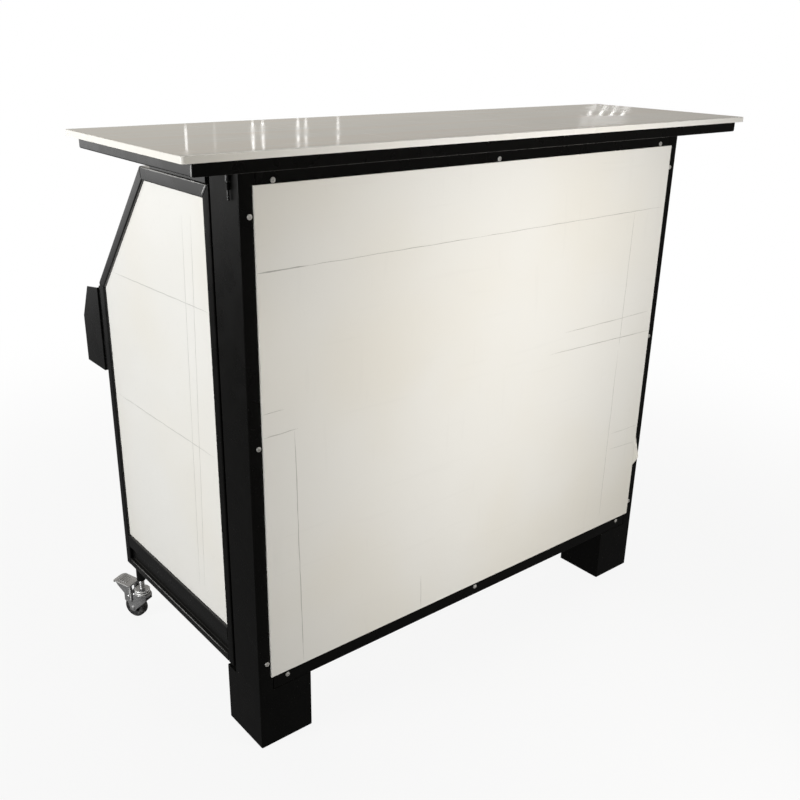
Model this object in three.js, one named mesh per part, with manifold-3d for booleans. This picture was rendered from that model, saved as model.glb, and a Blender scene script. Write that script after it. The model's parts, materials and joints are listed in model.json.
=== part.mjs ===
// Folding portable bar: a shallow panelled front unit on two box feet, two hinged side wings on
// braked casters, a lift-off counter and a lift-off bottle rail hung behind the wings.
// Millimetres, +Z up. The customer side faces -Y, the bartender stands on the +Y side.
// Pieces of one side are drawn for +X and mirrored for -X.

import * as THREE from "three";
import { mergeVertices } from "three/addons/utils/BufferGeometryUtils.js";
import Module from "manifold-3d";

const wasm = await Module();
wasm.setup();

// Gap left between pieces that rest on or meet each other.
const SEAT = 0.3;

// Front unit: two deep posts, a top and a bottom rail, closed by a sheet on each side.
const BODY_WIDTH = 1080;
const POST_WIDTH = 30;
const POST_DEPTH = 87;
const POST_LENGTH = 947.7;
const POST_WALL = 2;
const TOP_RAIL_HEIGHT = 36;
const BOTTOM_RAIL_HEIGHT = 38;
const RAIL_WALL = 2;
const TUBE_CORNER = 2.5;

// Box feet under the front corners.
const FOOT_WIDTH = 113;
const FOOT_DEPTH = 118;
const FOOT_HEIGHT = 121.7;
const FOOT_WALL = 3;
const FOOT_DRAIN_RADIUS = 4;

// Front panel on the face of the unit and the sheet that closes its back.
const PANEL_THICK = 4;
const PANEL_SIDE_MARGIN = 24;
const PANEL_TOP_MARGIN = 28.2;
const PANEL_BOTTOM_MARGIN = 31.5;
const BACK_SHEET_THICK = 3;
const BACK_SHEET_INSET = 2;
const SHEET_FIT = 0.4;

// Pan-head screws in the frame beside the panel: three along each edge.
const SCREW_HEAD_RADIUS = 4.5;
const SCREW_HEAD_HEIGHT = 2.6;
const SCREW_SHANK_RADIUS = 2;
const SCREW_LENGTH = 12;
const SCREW_HOLE_CLEARANCE = 0.4;
const SCREW_SIDE_OFFSET = 6.5;
const SCREW_TOP_OFFSET = 5;
const SCREW_BOTTOM_OFFSET = 11;
const SCREW_ROW_INSET = 30;
const SCREW_COLUMN_LOW_INSET = 30.5;
const SCREW_COLUMN_HIGH_INSET = 46.5;
const SCREW_COLUMN_MIDDLE_RISE = 23.5;

// Side wings: mitred tube frames with a recessed panel and a knee in the rear edge.
const WING_GAP = 6;
const WING_WIDTH = 476;
const WING_TOP_DROP = 37;
const WING_KNEE_HEIGHT = 646.5;
const WING_TOP_LENGTH = 243;
const WING_THICK = 25;
const WING_TUBE_FACE = 20;
const WING_TOP_FACE = 24;
const WING_TUBE_WALL = 1.5;
const WING_FOOT_CLEARANCE = 9.8;
const WING_MITRE_GAP = 0.2;
const WING_PANEL_THICK = 5;
const WING_PANEL_RECESS = 5;

// Bottom rail of a wing: a lower lip, a shadow groove and a sill under the panel.
const WING_LIP_HEIGHT = 17;
const WING_GROOVE_HEIGHT = 31;
const WING_SILL_HEIGHT = 28;
const WING_GROOVE_DEPTH = 7;

// Lift-off barrel hinges between the posts and the wings.
const HINGE_RADIUS = 6;
const HINGE_PIN_RADIUS = 3;
const HINGE_BORE_CLEARANCE = 0.3;
const HINGE_HALF_LENGTH = 28;
const HINGE_RUNNING_GAP = 0.4;
const HINGE_LEAF_THICK = 3;
const HINGE_LEAF_WIDTH = 24;
const HINGE_AXIS_INSET = 7;
const HINGE_AXIS_BACK = 7;
const HINGE_LOW_RISE = 76;
const HINGE_TOP_DROP = 154;

// Counter: a slab on a square tube frame that overhangs the front and both sides.
const SLAB_LENGTH = 1330;
const SLAB_DEPTH = 406;
const SLAB_THICK = 10;
const SLAB_FRONT_OVERHANG = 75.5;
const SLAB_CORNER_RADIUS = 6;
const COUNTER_TUBE = 20;
const COUNTER_TUBE_WALL = 1.5;
const COUNTER_SIDE_INSET = 18.5;
const COUNTER_FRONT_INSET = 9;
const COUNTER_REAR_INSET = 9;

// Cross bars of the counter: each rests on a post and a wing and carries a locating pin.
const CROSS_WIDTH = 36;
const CROSS_OUTBOARD = 12;
const BEARER_WIDTH = 20;
const BEARER_FRONT_CLEARANCE = 12;
const BEARER_REAR_CLEARANCE = 1.2;
const PIN_COLLAR_RADIUS = 3.8;
const PIN_RADIUS = 2;
const PIN_LENGTH = 27;
const PIN_BORE_CLEARANCE = 0.4;
const PIN_FROM_FRONT = 23.5;
const PIN_SINK = 0.5;
const SOCKET_LENGTH = 11;
const SOCKET_TOP_DROP = 24.7;
const PIN_COLLAR_GAP = 1.5;

// Bottle rail: a sheet trough with shaped ends, hung on brackets behind the wings.
const RAIL_END_OVERHANG = 12.5;
const RAIL_STANDOFF = 15;
const RAIL_DEPTH = 87;
const RAIL_BASE_HEIGHT = 585;
const RAIL_LIP_HEIGHT = 100;
const RAIL_BACK_HEIGHT = 178;
const RAIL_SHOULDER_HEIGHT = 170;
const RAIL_SHOULDER_DEPTH = 52;
const RAIL_SHEET = 1.5;
const HOOK_WIDTH = 14;
const HOOK_DROP = 22;
const HOOK_THICK = 2;
const HOOK_CLEARANCE = 3.5;
const BRACKET_WIDTH = 18;
const BRACKET_PLATE = 4.5;
const BRACKET_SWING_CLEARANCE = 2;
const BRACKET_BLOCK_DROP = 30;
const BRACKET_BASE_RISE = 4;

// Casters: a threaded stem in a leg under each wing, a swivel fork, a wheel and a brake pedal.
const CASTER_FROM_REAR = 40;
const CASTER_SWING_DEG = 27;
const LEG_RADIUS = 10;
const STEM_RADIUS = 6;
const STEM_BORE_CLEARANCE = 0.4;
const STEM_TOP_SINK = 4;
const STEM_EXPOSED = 23.7;
const RACE_RADIUS = 17;
const RACE_THICK = 10;
const KINGPIN_RADIUS = 4;
const KINGPIN_HEAD_RADIUS = 6.5;
const KINGPIN_HEAD_THICK = 3;
const SWIVEL_GAP = 0.4;
const FORK_WHEEL_GAP = 10;
const FORK_PLATE = 4.6;
const FORK_CHEEK = 2.5;
const FORK_SIDE_GAP = 1.2;
const FORK_FRONT = 22;
const FORK_BACK_REACH = 6;
const FORK_CHEEK_REACH = 13;
const FORK_CHEEK_RISE = 13;
const WHEEL_RADIUS = 25;
const WHEEL_WIDTH = 20;
const WHEEL_TRAIL = 20;
const AXLE_RADIUS = 3;
const AXLE_HEAD_RADIUS = 5.5;
const AXLE_HEAD_THICK = 2.2;
const AXLE_CLEARANCE = 0.4;
const PEDAL_PIVOT_REACH = 6;
const PEDAL_PIVOT_RISE = 6;
const PEDAL_PIVOT_RADIUS = 2.5;
const PEDAL_PLATE_RISE = 18.4;
const PEDAL_PLATE_THICK = 3;
const PEDAL_PLATE_REACH = 2;
const PEDAL_PLATE_LENGTH = 50;
const PEDAL_PLATE_CLIMB = 6;
const PEDAL_TIP_LENGTH = 14;
const PEDAL_TIP_DROP = 4;
const PEDAL_TIP_CHAMFER = 6;
const PEDAL_ARM_THICK = 2.5;
const PEDAL_ARM_GAP = 1.8;
const PEDAL_ARM_AHEAD = 7;
const PEDAL_ARM_BEHIND = 11;
const PEDAL_ARM_FOOT = 13;
const PEDAL_ARM_KNEE = 7;
const PEDAL_ARM_RUN = 32;
const PEDAL_ARM_LIP = 6;
const PEDAL_SHOE_REACH = 16;
const PEDAL_SHOE_THICK = 3;
const PEDAL_SHOE_WIDTH = 16;
const PEDAL_SHOE_GAP = 4.6;

// Derived positions, in the drawing frame whose y = 0 is the front face of the posts.
const SIDE_X = BODY_WIDTH / 2;
const POST_INNER_X = SIDE_X - POST_WIDTH;
const FRAME_BOTTOM = FOOT_HEIGHT + SEAT;
const FRAME_TOP = FRAME_BOTTOM + POST_LENGTH;
const PANEL_HALF = SIDE_X - PANEL_SIDE_MARGIN;
const PANEL_LOW = FRAME_BOTTOM + PANEL_BOTTOM_MARGIN;
const PANEL_HIGH = FRAME_TOP - PANEL_TOP_MARGIN;
const COUNTER_LOW = FRAME_TOP + SEAT;
const SLAB_LOW = COUNTER_LOW + COUNTER_TUBE;
const SLAB_HALF = SLAB_LENGTH / 2;
const SLAB_FRONT = -SLAB_FRONT_OVERHANG;
const SLAB_REAR = SLAB_FRONT + SLAB_DEPTH;
const WING_FRONT = POST_DEPTH + WING_GAP;
const WING_REAR = WING_FRONT + WING_WIDTH;
const WING_LOW = FOOT_HEIGHT + WING_FOOT_CLEARANCE;
const WING_HIGH = FRAME_TOP - WING_TOP_DROP;
const WING_KNEE = WING_LOW + WING_KNEE_HEIGHT;
const WING_INNER_X = SIDE_X - WING_THICK;
const WING_MID_X = SIDE_X - WING_THICK / 2;
const WING_SILL = WING_LOW + WING_LIP_HEIGHT + WING_GROOVE_HEIGHT + WING_SILL_HEIGHT;
const HINGE_X = WING_INNER_X - HINGE_AXIS_INSET;
const HINGE_Y = POST_DEPTH + HINGE_AXIS_BACK;
const PIN_X = SIDE_X + PIN_COLLAR_RADIUS - PIN_SINK;
const SOCKET_TOP = FRAME_TOP - SOCKET_TOP_DROP;
const RAIL_HALF = WING_MID_X + RAIL_END_OVERHANG;
const RAIL_FRONT = WING_REAR + RAIL_STANDOFF;
const RAIL_REAR = RAIL_FRONT + RAIL_DEPTH;
const RAIL_TOP = RAIL_BASE_HEIGHT + RAIL_BACK_HEIGHT;
const CASTER_Y = WING_REAR - CASTER_FROM_REAR;
const FORK_INNER = WHEEL_WIDTH / 2 + FORK_SIDE_GAP;
const FORK_OUTER = FORK_INNER + FORK_CHEEK;
const FORK_TOP = 2 * WHEEL_RADIUS + FORK_WHEEL_GAP + FORK_PLATE;
const FORK_BACK = WHEEL_TRAIL + FORK_BACK_REACH;
const FORK_CHEEK_BACK = WHEEL_TRAIL + FORK_CHEEK_REACH;
const FORK_CHEEK_LOW = WHEEL_RADIUS + FORK_CHEEK_RISE;
const RACE_LOW = FORK_TOP + SWIVEL_GAP;
const LEG_BOTTOM = RACE_LOW + RACE_THICK + STEM_EXPOSED;
const PEDAL_PIVOT_TRAIL = WHEEL_TRAIL + PEDAL_PIVOT_REACH;
const PEDAL_PIVOT_HEIGHT = 2 * WHEEL_RADIUS + PEDAL_PIVOT_RISE;
const PEDAL_PLATE_HEIGHT = FORK_TOP + PEDAL_PLATE_RISE;
const PEDAL_PLATE_START = WHEEL_TRAIL + PEDAL_PLATE_REACH;
const PEDAL_SHOE_TRAIL = WHEEL_TRAIL + PEDAL_SHOE_REACH;
const PEDAL_ARM_INNER = FORK_OUTER + PEDAL_ARM_GAP;
const PEDAL_ARM_OUTER = PEDAL_ARM_INNER + PEDAL_ARM_THICK;
const DEPTH_CENTRE = (SLAB_FRONT + RAIL_REAR) / 2;

// Finishes.
const blackPaint = { color: 0x17171a, roughness: 0.42, metalness: 0.25 };
const whiteSheet = { color: 0xeceae4, roughness: 0.18, metalness: 0 };
const slabSheet = { color: 0xe6e6e2, roughness: 0.12, metalness: 0 };
const backSheet = { color: 0xdcdcd8, roughness: 0.6, metalness: 0 };
const zinc = { color: 0xb4b6b8, roughness: 0.3, metalness: 1 };
const wheelGrey = { color: 0x3a3a3c, roughness: 0.65, metalness: 0 };

// A closed three.js geometry as a solid that can be joined and cut.
function solid(geometry) {
  const bare = geometry.index ? geometry.toNonIndexed() : geometry;
  const points = new THREE.BufferGeometry();
  points.setAttribute("position", bare.getAttribute("position"));
  const merged = mergeVertices(points, 1e-4);
  const index = merged.index.array;
  const triangles = [];
  for (let i = 0; i < index.length; i += 3) {
    const [a, b, c] = [index[i], index[i + 1], index[i + 2]];
    if (a !== b && b !== c && c !== a) triangles.push(a, b, c);
  }
  const build = (list) =>
    new wasm.Manifold(
      new wasm.Mesh({
        numProp: 3,
        vertProperties: new Float32Array(merged.attributes.position.array),
        triVerts: new Uint32Array(list),
      }),
    );
  const made = build(triangles);
  if (made.volume() >= 0) return made;
  const turned = [];
  for (let i = 0; i < triangles.length; i += 3) {
    turned.push(triangles[i], triangles[i + 2], triangles[i + 1]);
  }
  return build(turned);
}

// A solid as a flat-shaded geometry.
function geometryOf(shape) {
  const mesh = shape.getMesh();
  const positions = new Float32Array(mesh.triVerts.length * 3);
  mesh.triVerts.forEach((vertex, i) => {
    for (let k = 0; k < 3; k += 1) {
      positions[i * 3 + k] = mesh.vertProperties[vertex * mesh.numProp + k];
    }
  });
  const geometry = new THREE.BufferGeometry();
  geometry.setAttribute("position", new THREE.BufferAttribute(positions, 3));
  geometry.computeVertexNormals();
  return geometry;
}

function join(first, ...rest) {
  return rest.reduce((sum, next) => sum.add(next), first);
}

function cut(first, ...rest) {
  return rest.reduce((left, next) => left.subtract(next), first);
}

function box(x0, x1, y0, y1, z0, z1) {
  const geometry = new THREE.BoxGeometry(x1 - x0, y1 - y0, z1 - z0);
  geometry.translate((x0 + x1) / 2, (y0 + y1) / 2, (z0 + z1) / 2);
  return solid(geometry);
}

function extrude(shape, depth) {
  return new THREE.ExtrudeGeometry(shape, { depth, bevelEnabled: false, steps: 1 });
}

function outline(points) {
  return new THREE.Shape(points.map(([u, v]) => new THREE.Vector2(u, v)));
}

// Prisms of a flat outline along each axis. The outline is given as (y, z), (x, z) or (x, y).
function prismX(points, x0, x1) {
  const geometry = extrude(outline(points), x1 - x0);
  const turn = new THREE.Matrix4().makeBasis(
    new THREE.Vector3(0, 1, 0),
    new THREE.Vector3(0, 0, 1),
    new THREE.Vector3(1, 0, 0),
  );
  return solid(geometry.applyMatrix4(turn).translate(x0, 0, 0));
}

function prismY(points, y0, y1) {
  const geometry = extrude(outline(points), y1 - y0);
  return solid(geometry.rotateX(Math.PI / 2).translate(0, y1, 0));
}

function prismZ(points, z0, z1) {
  return solid(extrude(outline(points), z1 - z0).translate(0, 0, z0));
}

// Corner points of a rounded rectangle centred on the origin.
function roundedRect(width, height, radius, steps = 3) {
  const r = Math.min(radius, width / 2, height / 2);
  const corners = [
    [width / 2 - r, height / 2 - r, 0],
    [-width / 2 + r, height / 2 - r, 1],
    [-width / 2 + r, -height / 2 + r, 2],
    [width / 2 - r, -height / 2 + r, 3],
  ];
  const points = [];
  for (const [cx, cy, quarter] of corners) {
    for (let i = 0; i <= steps; i += 1) {
      const angle = ((quarter + i / steps) * Math.PI) / 2;
      points.push([cx + r * Math.cos(angle), cy + r * Math.sin(angle)]);
    }
  }
  return points;
}

// A rectangular tube along +Z from z = 0, open at both ends, centred on the axis.
function tubeGeometry(width, depth, wall, length) {
  const section = outline(roundedRect(width, depth, TUBE_CORNER));
  const bore = roundedRect(width - 2 * wall, depth - 2 * wall, Math.max(TUBE_CORNER - wall, 0.4));
  section.holes.push(new THREE.Path(bore.map(([u, v]) => new THREE.Vector2(u, v))));
  return extrude(section, length);
}

function cylinderZ(radius, z0, z1, x = 0, y = 0, sides = 24) {
  const geometry = new THREE.CylinderGeometry(radius, radius, z1 - z0, sides);
  geometry.rotateX(Math.PI / 2).translate(x, y, (z0 + z1) / 2);
  return solid(geometry);
}

function cylinderY(radius, y0, y1, x = 0, z = 0, sides = 24) {
  const geometry = new THREE.CylinderGeometry(radius, radius, y1 - y0, sides);
  geometry.translate(x, (y0 + y1) / 2, z);
  return solid(geometry);
}

// A body of revolution about +Z from a profile of (radius, height) points.
function lathe(profile, sides) {
  const points = profile.map(([r, h]) => new THREE.Vector2(r, h));
  return solid(new THREE.LatheGeometry(points, sides).rotateX(Math.PI / 2));
}

const bar = new THREE.Group();
bar.position.y = -DEPTH_CENTRE;

function add(parent, name, shape, finish) {
  const mesh = new THREE.Mesh(geometryOf(shape), new THREE.MeshStandardMaterial(finish));
  mesh.name = name;
  parent.add(mesh);
  return mesh;
}

// One group for each side: pieces are drawn at +X, and the left group mirrors them.
const sides = [
  ["right", 1],
  ["left", -1],
].map(([label, sign]) => {
  const group = new THREE.Group();
  group.scale.x = sign;
  bar.add(group);
  return { label, group };
});

function addPair(name, shape, finish) {
  for (const { label, group } of sides) add(group, `${name}_${label}`, shape, finish);
}

// Front unit.
function screwBore(x, z) {
  const radius = SCREW_SHANK_RADIUS + SCREW_HOLE_CLEARANCE;
  return cylinderY(radius, -1, POST_WALL + RAIL_WALL, x, z, 12);
}

const screwColumnX = PANEL_HALF + SCREW_SIDE_OFFSET;
const screwTopZ = PANEL_HIGH + SCREW_TOP_OFFSET;
const screwBottomZ = PANEL_LOW - SCREW_BOTTOM_OFFSET;
const screwRowEnd = POST_INNER_X - SCREW_ROW_INSET;
const screwRowX = [-screwRowEnd, 0, screwRowEnd];
const screwColumnLow = PANEL_LOW + SCREW_COLUMN_LOW_INSET;
const screwColumnHigh = PANEL_HIGH - SCREW_COLUMN_HIGH_INSET;
const screwColumnMiddle = (screwColumnLow + screwColumnHigh) / 2 + SCREW_COLUMN_MIDDLE_RISE;
const screwColumnZ = [screwColumnLow, screwColumnMiddle, screwColumnHigh];

function makePost() {
  const shell = tubeGeometry(POST_WIDTH, POST_DEPTH, POST_WALL, POST_LENGTH);
  shell.translate(SIDE_X - POST_WIDTH / 2, POST_DEPTH / 2, FRAME_BOTTOM);
  const cap = prismZ(
    roundedRect(POST_WIDTH - POST_WALL, POST_DEPTH - POST_WALL, TUBE_CORNER).map(([x, y]) => [
      x + SIDE_X - POST_WIDTH / 2,
      y + POST_DEPTH / 2,
    ]),
    FRAME_TOP - POST_WALL,
    FRAME_TOP,
  );
  const socketLow = SOCKET_TOP - SOCKET_LENGTH;
  const socket = cylinderZ(PIN_COLLAR_RADIUS, socketLow, SOCKET_TOP, PIN_X, PIN_FROM_FRONT);
  const bore = cylinderZ(
    PIN_RADIUS + PIN_BORE_CLEARANCE,
    socketLow - 1,
    SOCKET_TOP + 1,
    PIN_X,
    PIN_FROM_FRONT,
  );
  const holes = screwColumnZ.map((z) => screwBore(screwColumnX, z));
  return cut(join(solid(shell), cap, socket), bore, ...holes);
}

addPair("post", makePost(), blackPaint);

function makeFrontRail(low, height, screwZ) {
  const length = 2 * (POST_INNER_X - SEAT);
  const shell = tubeGeometry(height, POST_DEPTH, RAIL_WALL, length);
  shell.rotateY(Math.PI / 2).translate(-length / 2, POST_DEPTH / 2, low + height / 2);
  return cut(solid(shell), ...screwRowX.map((x) => screwBore(x, screwZ)));
}

const topRailLow = FRAME_TOP - TOP_RAIL_HEIGHT;
const bottomRailHigh = FRAME_BOTTOM + BOTTOM_RAIL_HEIGHT;
add(bar, "front_top_rail", makeFrontRail(topRailLow, TOP_RAIL_HEIGHT, screwTopZ), blackPaint);
add(
  bar,
  "front_bottom_rail",
  makeFrontRail(FRAME_BOTTOM, BOTTOM_RAIL_HEIGHT, screwBottomZ),
  blackPaint,
);

add(
  bar,
  "front_panel",
  box(-PANEL_HALF, PANEL_HALF, -PANEL_THICK, 0, PANEL_LOW, PANEL_HIGH),
  whiteSheet,
);

const backHalf = POST_INNER_X - SHEET_FIT;
const backFace = POST_DEPTH - BACK_SHEET_INSET;
add(
  bar,
  "back_panel",
  box(
    -backHalf,
    backHalf,
    backFace - BACK_SHEET_THICK,
    backFace,
    bottomRailHigh + SHEET_FIT,
    topRailLow - SHEET_FIT,
  ),
  backSheet,
);

function makeFoot() {
  const inner = SIDE_X - FOOT_WIDTH;
  const skin = prismZ(
    roundedRect(FOOT_WIDTH, FOOT_DEPTH, TUBE_CORNER).map(([x, y]) => [
      x + SIDE_X - FOOT_WIDTH / 2,
      y + FOOT_DEPTH / 2,
    ]),
    0,
    FOOT_HEIGHT,
  );
  const hollow = box(
    inner + FOOT_WALL,
    SIDE_X - FOOT_WALL,
    FOOT_WALL,
    FOOT_DEPTH - FOOT_WALL,
    FOOT_WALL,
    FOOT_HEIGHT - FOOT_WALL,
  );
  const drain = cylinderZ(
    FOOT_DRAIN_RADIUS,
    -1,
    FOOT_WALL + 1,
    SIDE_X - FOOT_WIDTH / 2,
    FOOT_DEPTH / 2,
    16,
  );
  return cut(skin, hollow, drain);
}

addPair("foot", makeFoot(), blackPaint);

// Screws, with a low domed head on the frame's face and the shank through its wall.
const screwProfile = [
  [0, -SCREW_LENGTH],
  [SCREW_SHANK_RADIUS, -SCREW_LENGTH],
  [SCREW_SHANK_RADIUS, 0],
  [SCREW_HEAD_RADIUS, 0],
  [SCREW_HEAD_RADIUS, SCREW_HEAD_HEIGHT * 0.45],
  [SCREW_HEAD_RADIUS * 0.72, SCREW_HEAD_HEIGHT * 0.88],
  [0, SCREW_HEAD_HEIGHT],
];
const screw = lathe(screwProfile, 12);
const screwSpots = [
  ...screwRowX.map((x, i) => [`panel_screw_top_${i + 1}`, x, screwTopZ]),
  ...screwRowX.map((x, i) => [`panel_screw_bottom_${i + 1}`, x, screwBottomZ]),
  ...screwColumnZ.map((z, i) => [`panel_screw_left_${i + 1}`, -screwColumnX, z]),
  ...screwColumnZ.map((z, i) => [`panel_screw_right_${i + 1}`, screwColumnX, z]),
];
for (const [name, x, z] of screwSpots) {
  const mesh = add(bar, name, screw, zinc);
  mesh.rotation.x = Math.PI / 2;
  mesh.position.set(x, 0, z);
}

// Hinges. The lower half is on the post and carries the pin, the upper half is on the wing.
function makePostHinge(low) {
  const high = low + HINGE_HALF_LENGTH;
  const barrel = cylinderZ(HINGE_RADIUS, low, high, HINGE_X, HINGE_Y);
  const pin = cylinderZ(HINGE_PIN_RADIUS, low, high + HINGE_HALF_LENGTH - 3, HINGE_X, HINGE_Y);
  const face = POST_DEPTH + SEAT;
  const leaf = box(HINGE_X, HINGE_X + HINGE_LEAF_WIDTH, face, face + HINGE_LEAF_THICK, low, high);
  return join(barrel, leaf, pin);
}

function makeWingHinge(postLow) {
  const low = postLow + HINGE_HALF_LENGTH + HINGE_RUNNING_GAP;
  const high = low + HINGE_HALF_LENGTH;
  const barrel = cylinderZ(HINGE_RADIUS, low, high, HINGE_X, HINGE_Y);
  const face = WING_INNER_X - SEAT;
  const leaf = box(
    face - HINGE_LEAF_THICK,
    face,
    HINGE_Y,
    HINGE_Y + HINGE_LEAF_WIDTH,
    low,
    high,
  );
  const radius = HINGE_PIN_RADIUS + HINGE_BORE_CLEARANCE;
  const bore = cylinderZ(radius, low - 1, high - 2, HINGE_X, HINGE_Y);
  return cut(join(barrel, leaf), bore);
}

const hingeLevels = [
  ["lower", WING_SILL + HINGE_LOW_RISE],
  ["upper", WING_HIGH - HINGE_TOP_DROP],
];
for (const [level, low] of hingeLevels) {
  addPair(`hinge_post_${level}`, makePostHinge(low), blackPaint);
  addPair(`hinge_wing_${level}`, makeWingHinge(low), blackPaint);
}

// Wings. The outline runs front bottom, rear bottom, knee, top rear, top front as (y, z).
const wingOutline = [
  [WING_FRONT, WING_LOW],
  [WING_REAR, WING_LOW],
  [WING_REAR, WING_KNEE],
  [WING_FRONT + WING_TOP_LENGTH, WING_HIGH],
  [WING_FRONT, WING_HIGH],
];

// The outline's edges moved inwards, one distance for each edge.
function insetOutline(points, distances) {
  const lines = points.map(([y, z], i) => {
    const [y2, z2] = points[(i + 1) % points.length];
    const length = Math.hypot(y2 - y, z2 - z);
    const normal = [-(z2 - z) / length, (y2 - y) / length];
    const offset = normal[0] * y + normal[1] * z + distances[i];
    return { normal, offset };
  });
  return lines.map((line, i) => {
    const before = lines[(i + lines.length - 1) % lines.length];
    const det = before.normal[0] * line.normal[1] - before.normal[1] * line.normal[0];
    return [
      (before.offset * line.normal[1] - before.normal[1] * line.offset) / det,
      (before.normal[0] * line.offset - before.offset * line.normal[0]) / det,
    ];
  });
}

// Face width of the tube along each edge of the outline; the top rail is the wide one.
const tubeFaces = wingOutline.map((corner, edge) => (edge === 3 ? WING_TOP_FACE : WING_TUBE_FACE));
const tubeInner = insetOutline(wingOutline, tubeFaces);

// Cuts away what lies past the line through (y, z) on the side that the direction points to.
function trim(shape, [y, z], [dy, dz]) {
  const reach = 400;
  const length = Math.hypot(dy, dz);
  const geometry = new THREE.BoxGeometry(reach, reach, reach);
  geometry.translate(0, reach / 2, 0).rotateX(Math.atan2(dz, dy));
  const shift = WING_MITRE_GAP / 2;
  geometry.translate(WING_MID_X, y - (dy / length) * shift, z - (dz / length) * shift);
  return shape.subtract(solid(geometry));
}

// A wing tube along one edge of the outline, with its ends cut on the given mitres.
function wingTube(edge, mitreStart, mitreEnd) {
  const [y0, z0] = wingOutline[edge];
  const [y1, z1] = wingOutline[(edge + 1) % 5];
  const length = Math.hypot(y1 - y0, z1 - z0);
  const along = [(y1 - y0) / length, (z1 - z0) / length];
  const inward = [-along[1], along[0]];
  const face = tubeFaces[edge];
  const reach = (end) => (end ? face * 2 : 0);
  const geometry = tubeGeometry(
    WING_THICK,
    face,
    WING_TUBE_WALL,
    length + reach(mitreStart) + reach(mitreEnd),
  );
  geometry.applyMatrix4(
    new THREE.Matrix4().makeBasis(
      new THREE.Vector3(1, 0, 0),
      new THREE.Vector3(0, -inward[0], -inward[1]),
      new THREE.Vector3(0, along[0], along[1]),
    ),
  );
  const half = face / 2;
  geometry.translate(
    WING_MID_X,
    y0 + inward[0] * half - along[0] * reach(mitreStart),
    z0 + inward[1] * half - along[1] * reach(mitreStart),
  );
  let shape = solid(geometry);
  const mitre = (corner, sign) => {
    const outer = wingOutline[corner % 5];
    const inner = tubeInner[corner % 5];
    const line = [inner[0] - outer[0], inner[1] - outer[1]];
    let normal = [line[1], -line[0]];
    if (Math.sign(normal[0] * along[0] + normal[1] * along[1]) !== sign) {
      normal = [-normal[0], -normal[1]];
    }
    shape = trim(shape, outer, normal);
  };
  if (mitreStart) mitre(edge, -1);
  if (mitreEnd) mitre(edge + 1, 1);
  return shape;
}

addPair("wing_rear_stile", wingTube(1, false, true), blackPaint);
addPair("wing_diagonal", wingTube(2, true, true), blackPaint);
addPair("wing_top_rail", wingTube(3, true, true), blackPaint);
addPair("wing_front_stile", wingTube(4, true, false), blackPaint);

// Bottom rail: two box sections on one web, with the groove on the outer face and a welded leg
// under the lip that takes the caster's stem.
function makeWingBottomRail() {
  const front = WING_FRONT + WING_TUBE_FACE + SEAT;
  const rear = WING_REAR - WING_TUBE_FACE - SEAT;
  const lipHigh = WING_LOW + WING_LIP_HEIGHT;
  const sillLow = lipHigh + WING_GROOVE_HEIGHT;
  const body = box(WING_INNER_X, SIDE_X, front, rear, WING_LOW, WING_SILL);
  const groove = box(
    SIDE_X - WING_GROOVE_DEPTH,
    SIDE_X + 1,
    front - 1,
    rear + 1,
    lipHigh,
    sillLow,
  );
  const wall = WING_TUBE_WALL;
  const bore = (low, high) =>
    box(WING_INNER_X + wall, SIDE_X - wall, front - 1, rear + 1, low + wall, high - wall);
  const leg = cylinderZ(LEG_RADIUS, LEG_BOTTOM, WING_LOW + wall / 2, WING_MID_X, CASTER_Y);
  const stemBore = cylinderZ(
    STEM_RADIUS + STEM_BORE_CLEARANCE,
    LEG_BOTTOM - 1,
    WING_LOW,
    WING_MID_X,
    CASTER_Y,
  );
  const rail = cut(body, groove, bore(WING_LOW, lipHigh), bore(sillLow, WING_SILL));
  return cut(join(rail, leg), stemBore);
}

addPair("wing_bottom_rail", makeWingBottomRail(), blackPaint);

const panelEdges = insetOutline(wingOutline, [
  WING_SILL - WING_LOW + SHEET_FIT,
  ...tubeFaces.slice(1).map((face) => face + SHEET_FIT),
]);
const wingPanelFace = SIDE_X - WING_PANEL_RECESS;
addPair("wing_panel", prismX(panelEdges, wingPanelFace - WING_PANEL_THICK, wingPanelFace), whiteSheet);

// Bracket on the rear stile: an upright plate with a slot in front of it for the rail's hook.
function makeBracket() {
  const x0 = WING_MID_X - BRACKET_WIDTH / 2;
  const x1 = WING_MID_X + BRACKET_WIDTH / 2;
  const plateRear = RAIL_FRONT - BRACKET_SWING_CLEARANCE;
  const plateFront = plateRear - BRACKET_PLATE;
  const low = RAIL_BASE_HEIGHT + BRACKET_BASE_RISE;
  const high = RAIL_TOP - SEAT;
  const plate = box(x0, x1, plateFront, plateRear, low, high);
  const block = box(x0, x1, WING_REAR + SEAT, plateFront, low, high - BRACKET_BLOCK_DROP);
  return join(plate, block);
}

addPair("rail_bracket", makeBracket(), blackPaint);

// Bottle rail: a bent sheet trough with closed ends and a clip-on hook over each bracket.
function makeTrough() {
  const half = RAIL_HALF;
  const base = RAIL_BASE_HEIGHT;
  const skin = prismX(
    [
      [RAIL_FRONT, base],
      [RAIL_REAR, base],
      [RAIL_REAR, base + RAIL_LIP_HEIGHT],
      [RAIL_FRONT + RAIL_SHOULDER_DEPTH, base + RAIL_SHOULDER_HEIGHT],
      [RAIL_FRONT, RAIL_TOP],
    ],
    -half,
    half,
  );
  const hollow = box(
    -half + RAIL_SHEET,
    half - RAIL_SHEET,
    RAIL_FRONT + RAIL_SHEET,
    RAIL_REAR - RAIL_SHEET,
    base + RAIL_SHEET,
    RAIL_TOP + RAIL_SHOULDER_HEIGHT,
  );
  return cut(skin, hollow);
}

add(bar, "rail_trough", makeTrough(), blackPaint);

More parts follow.
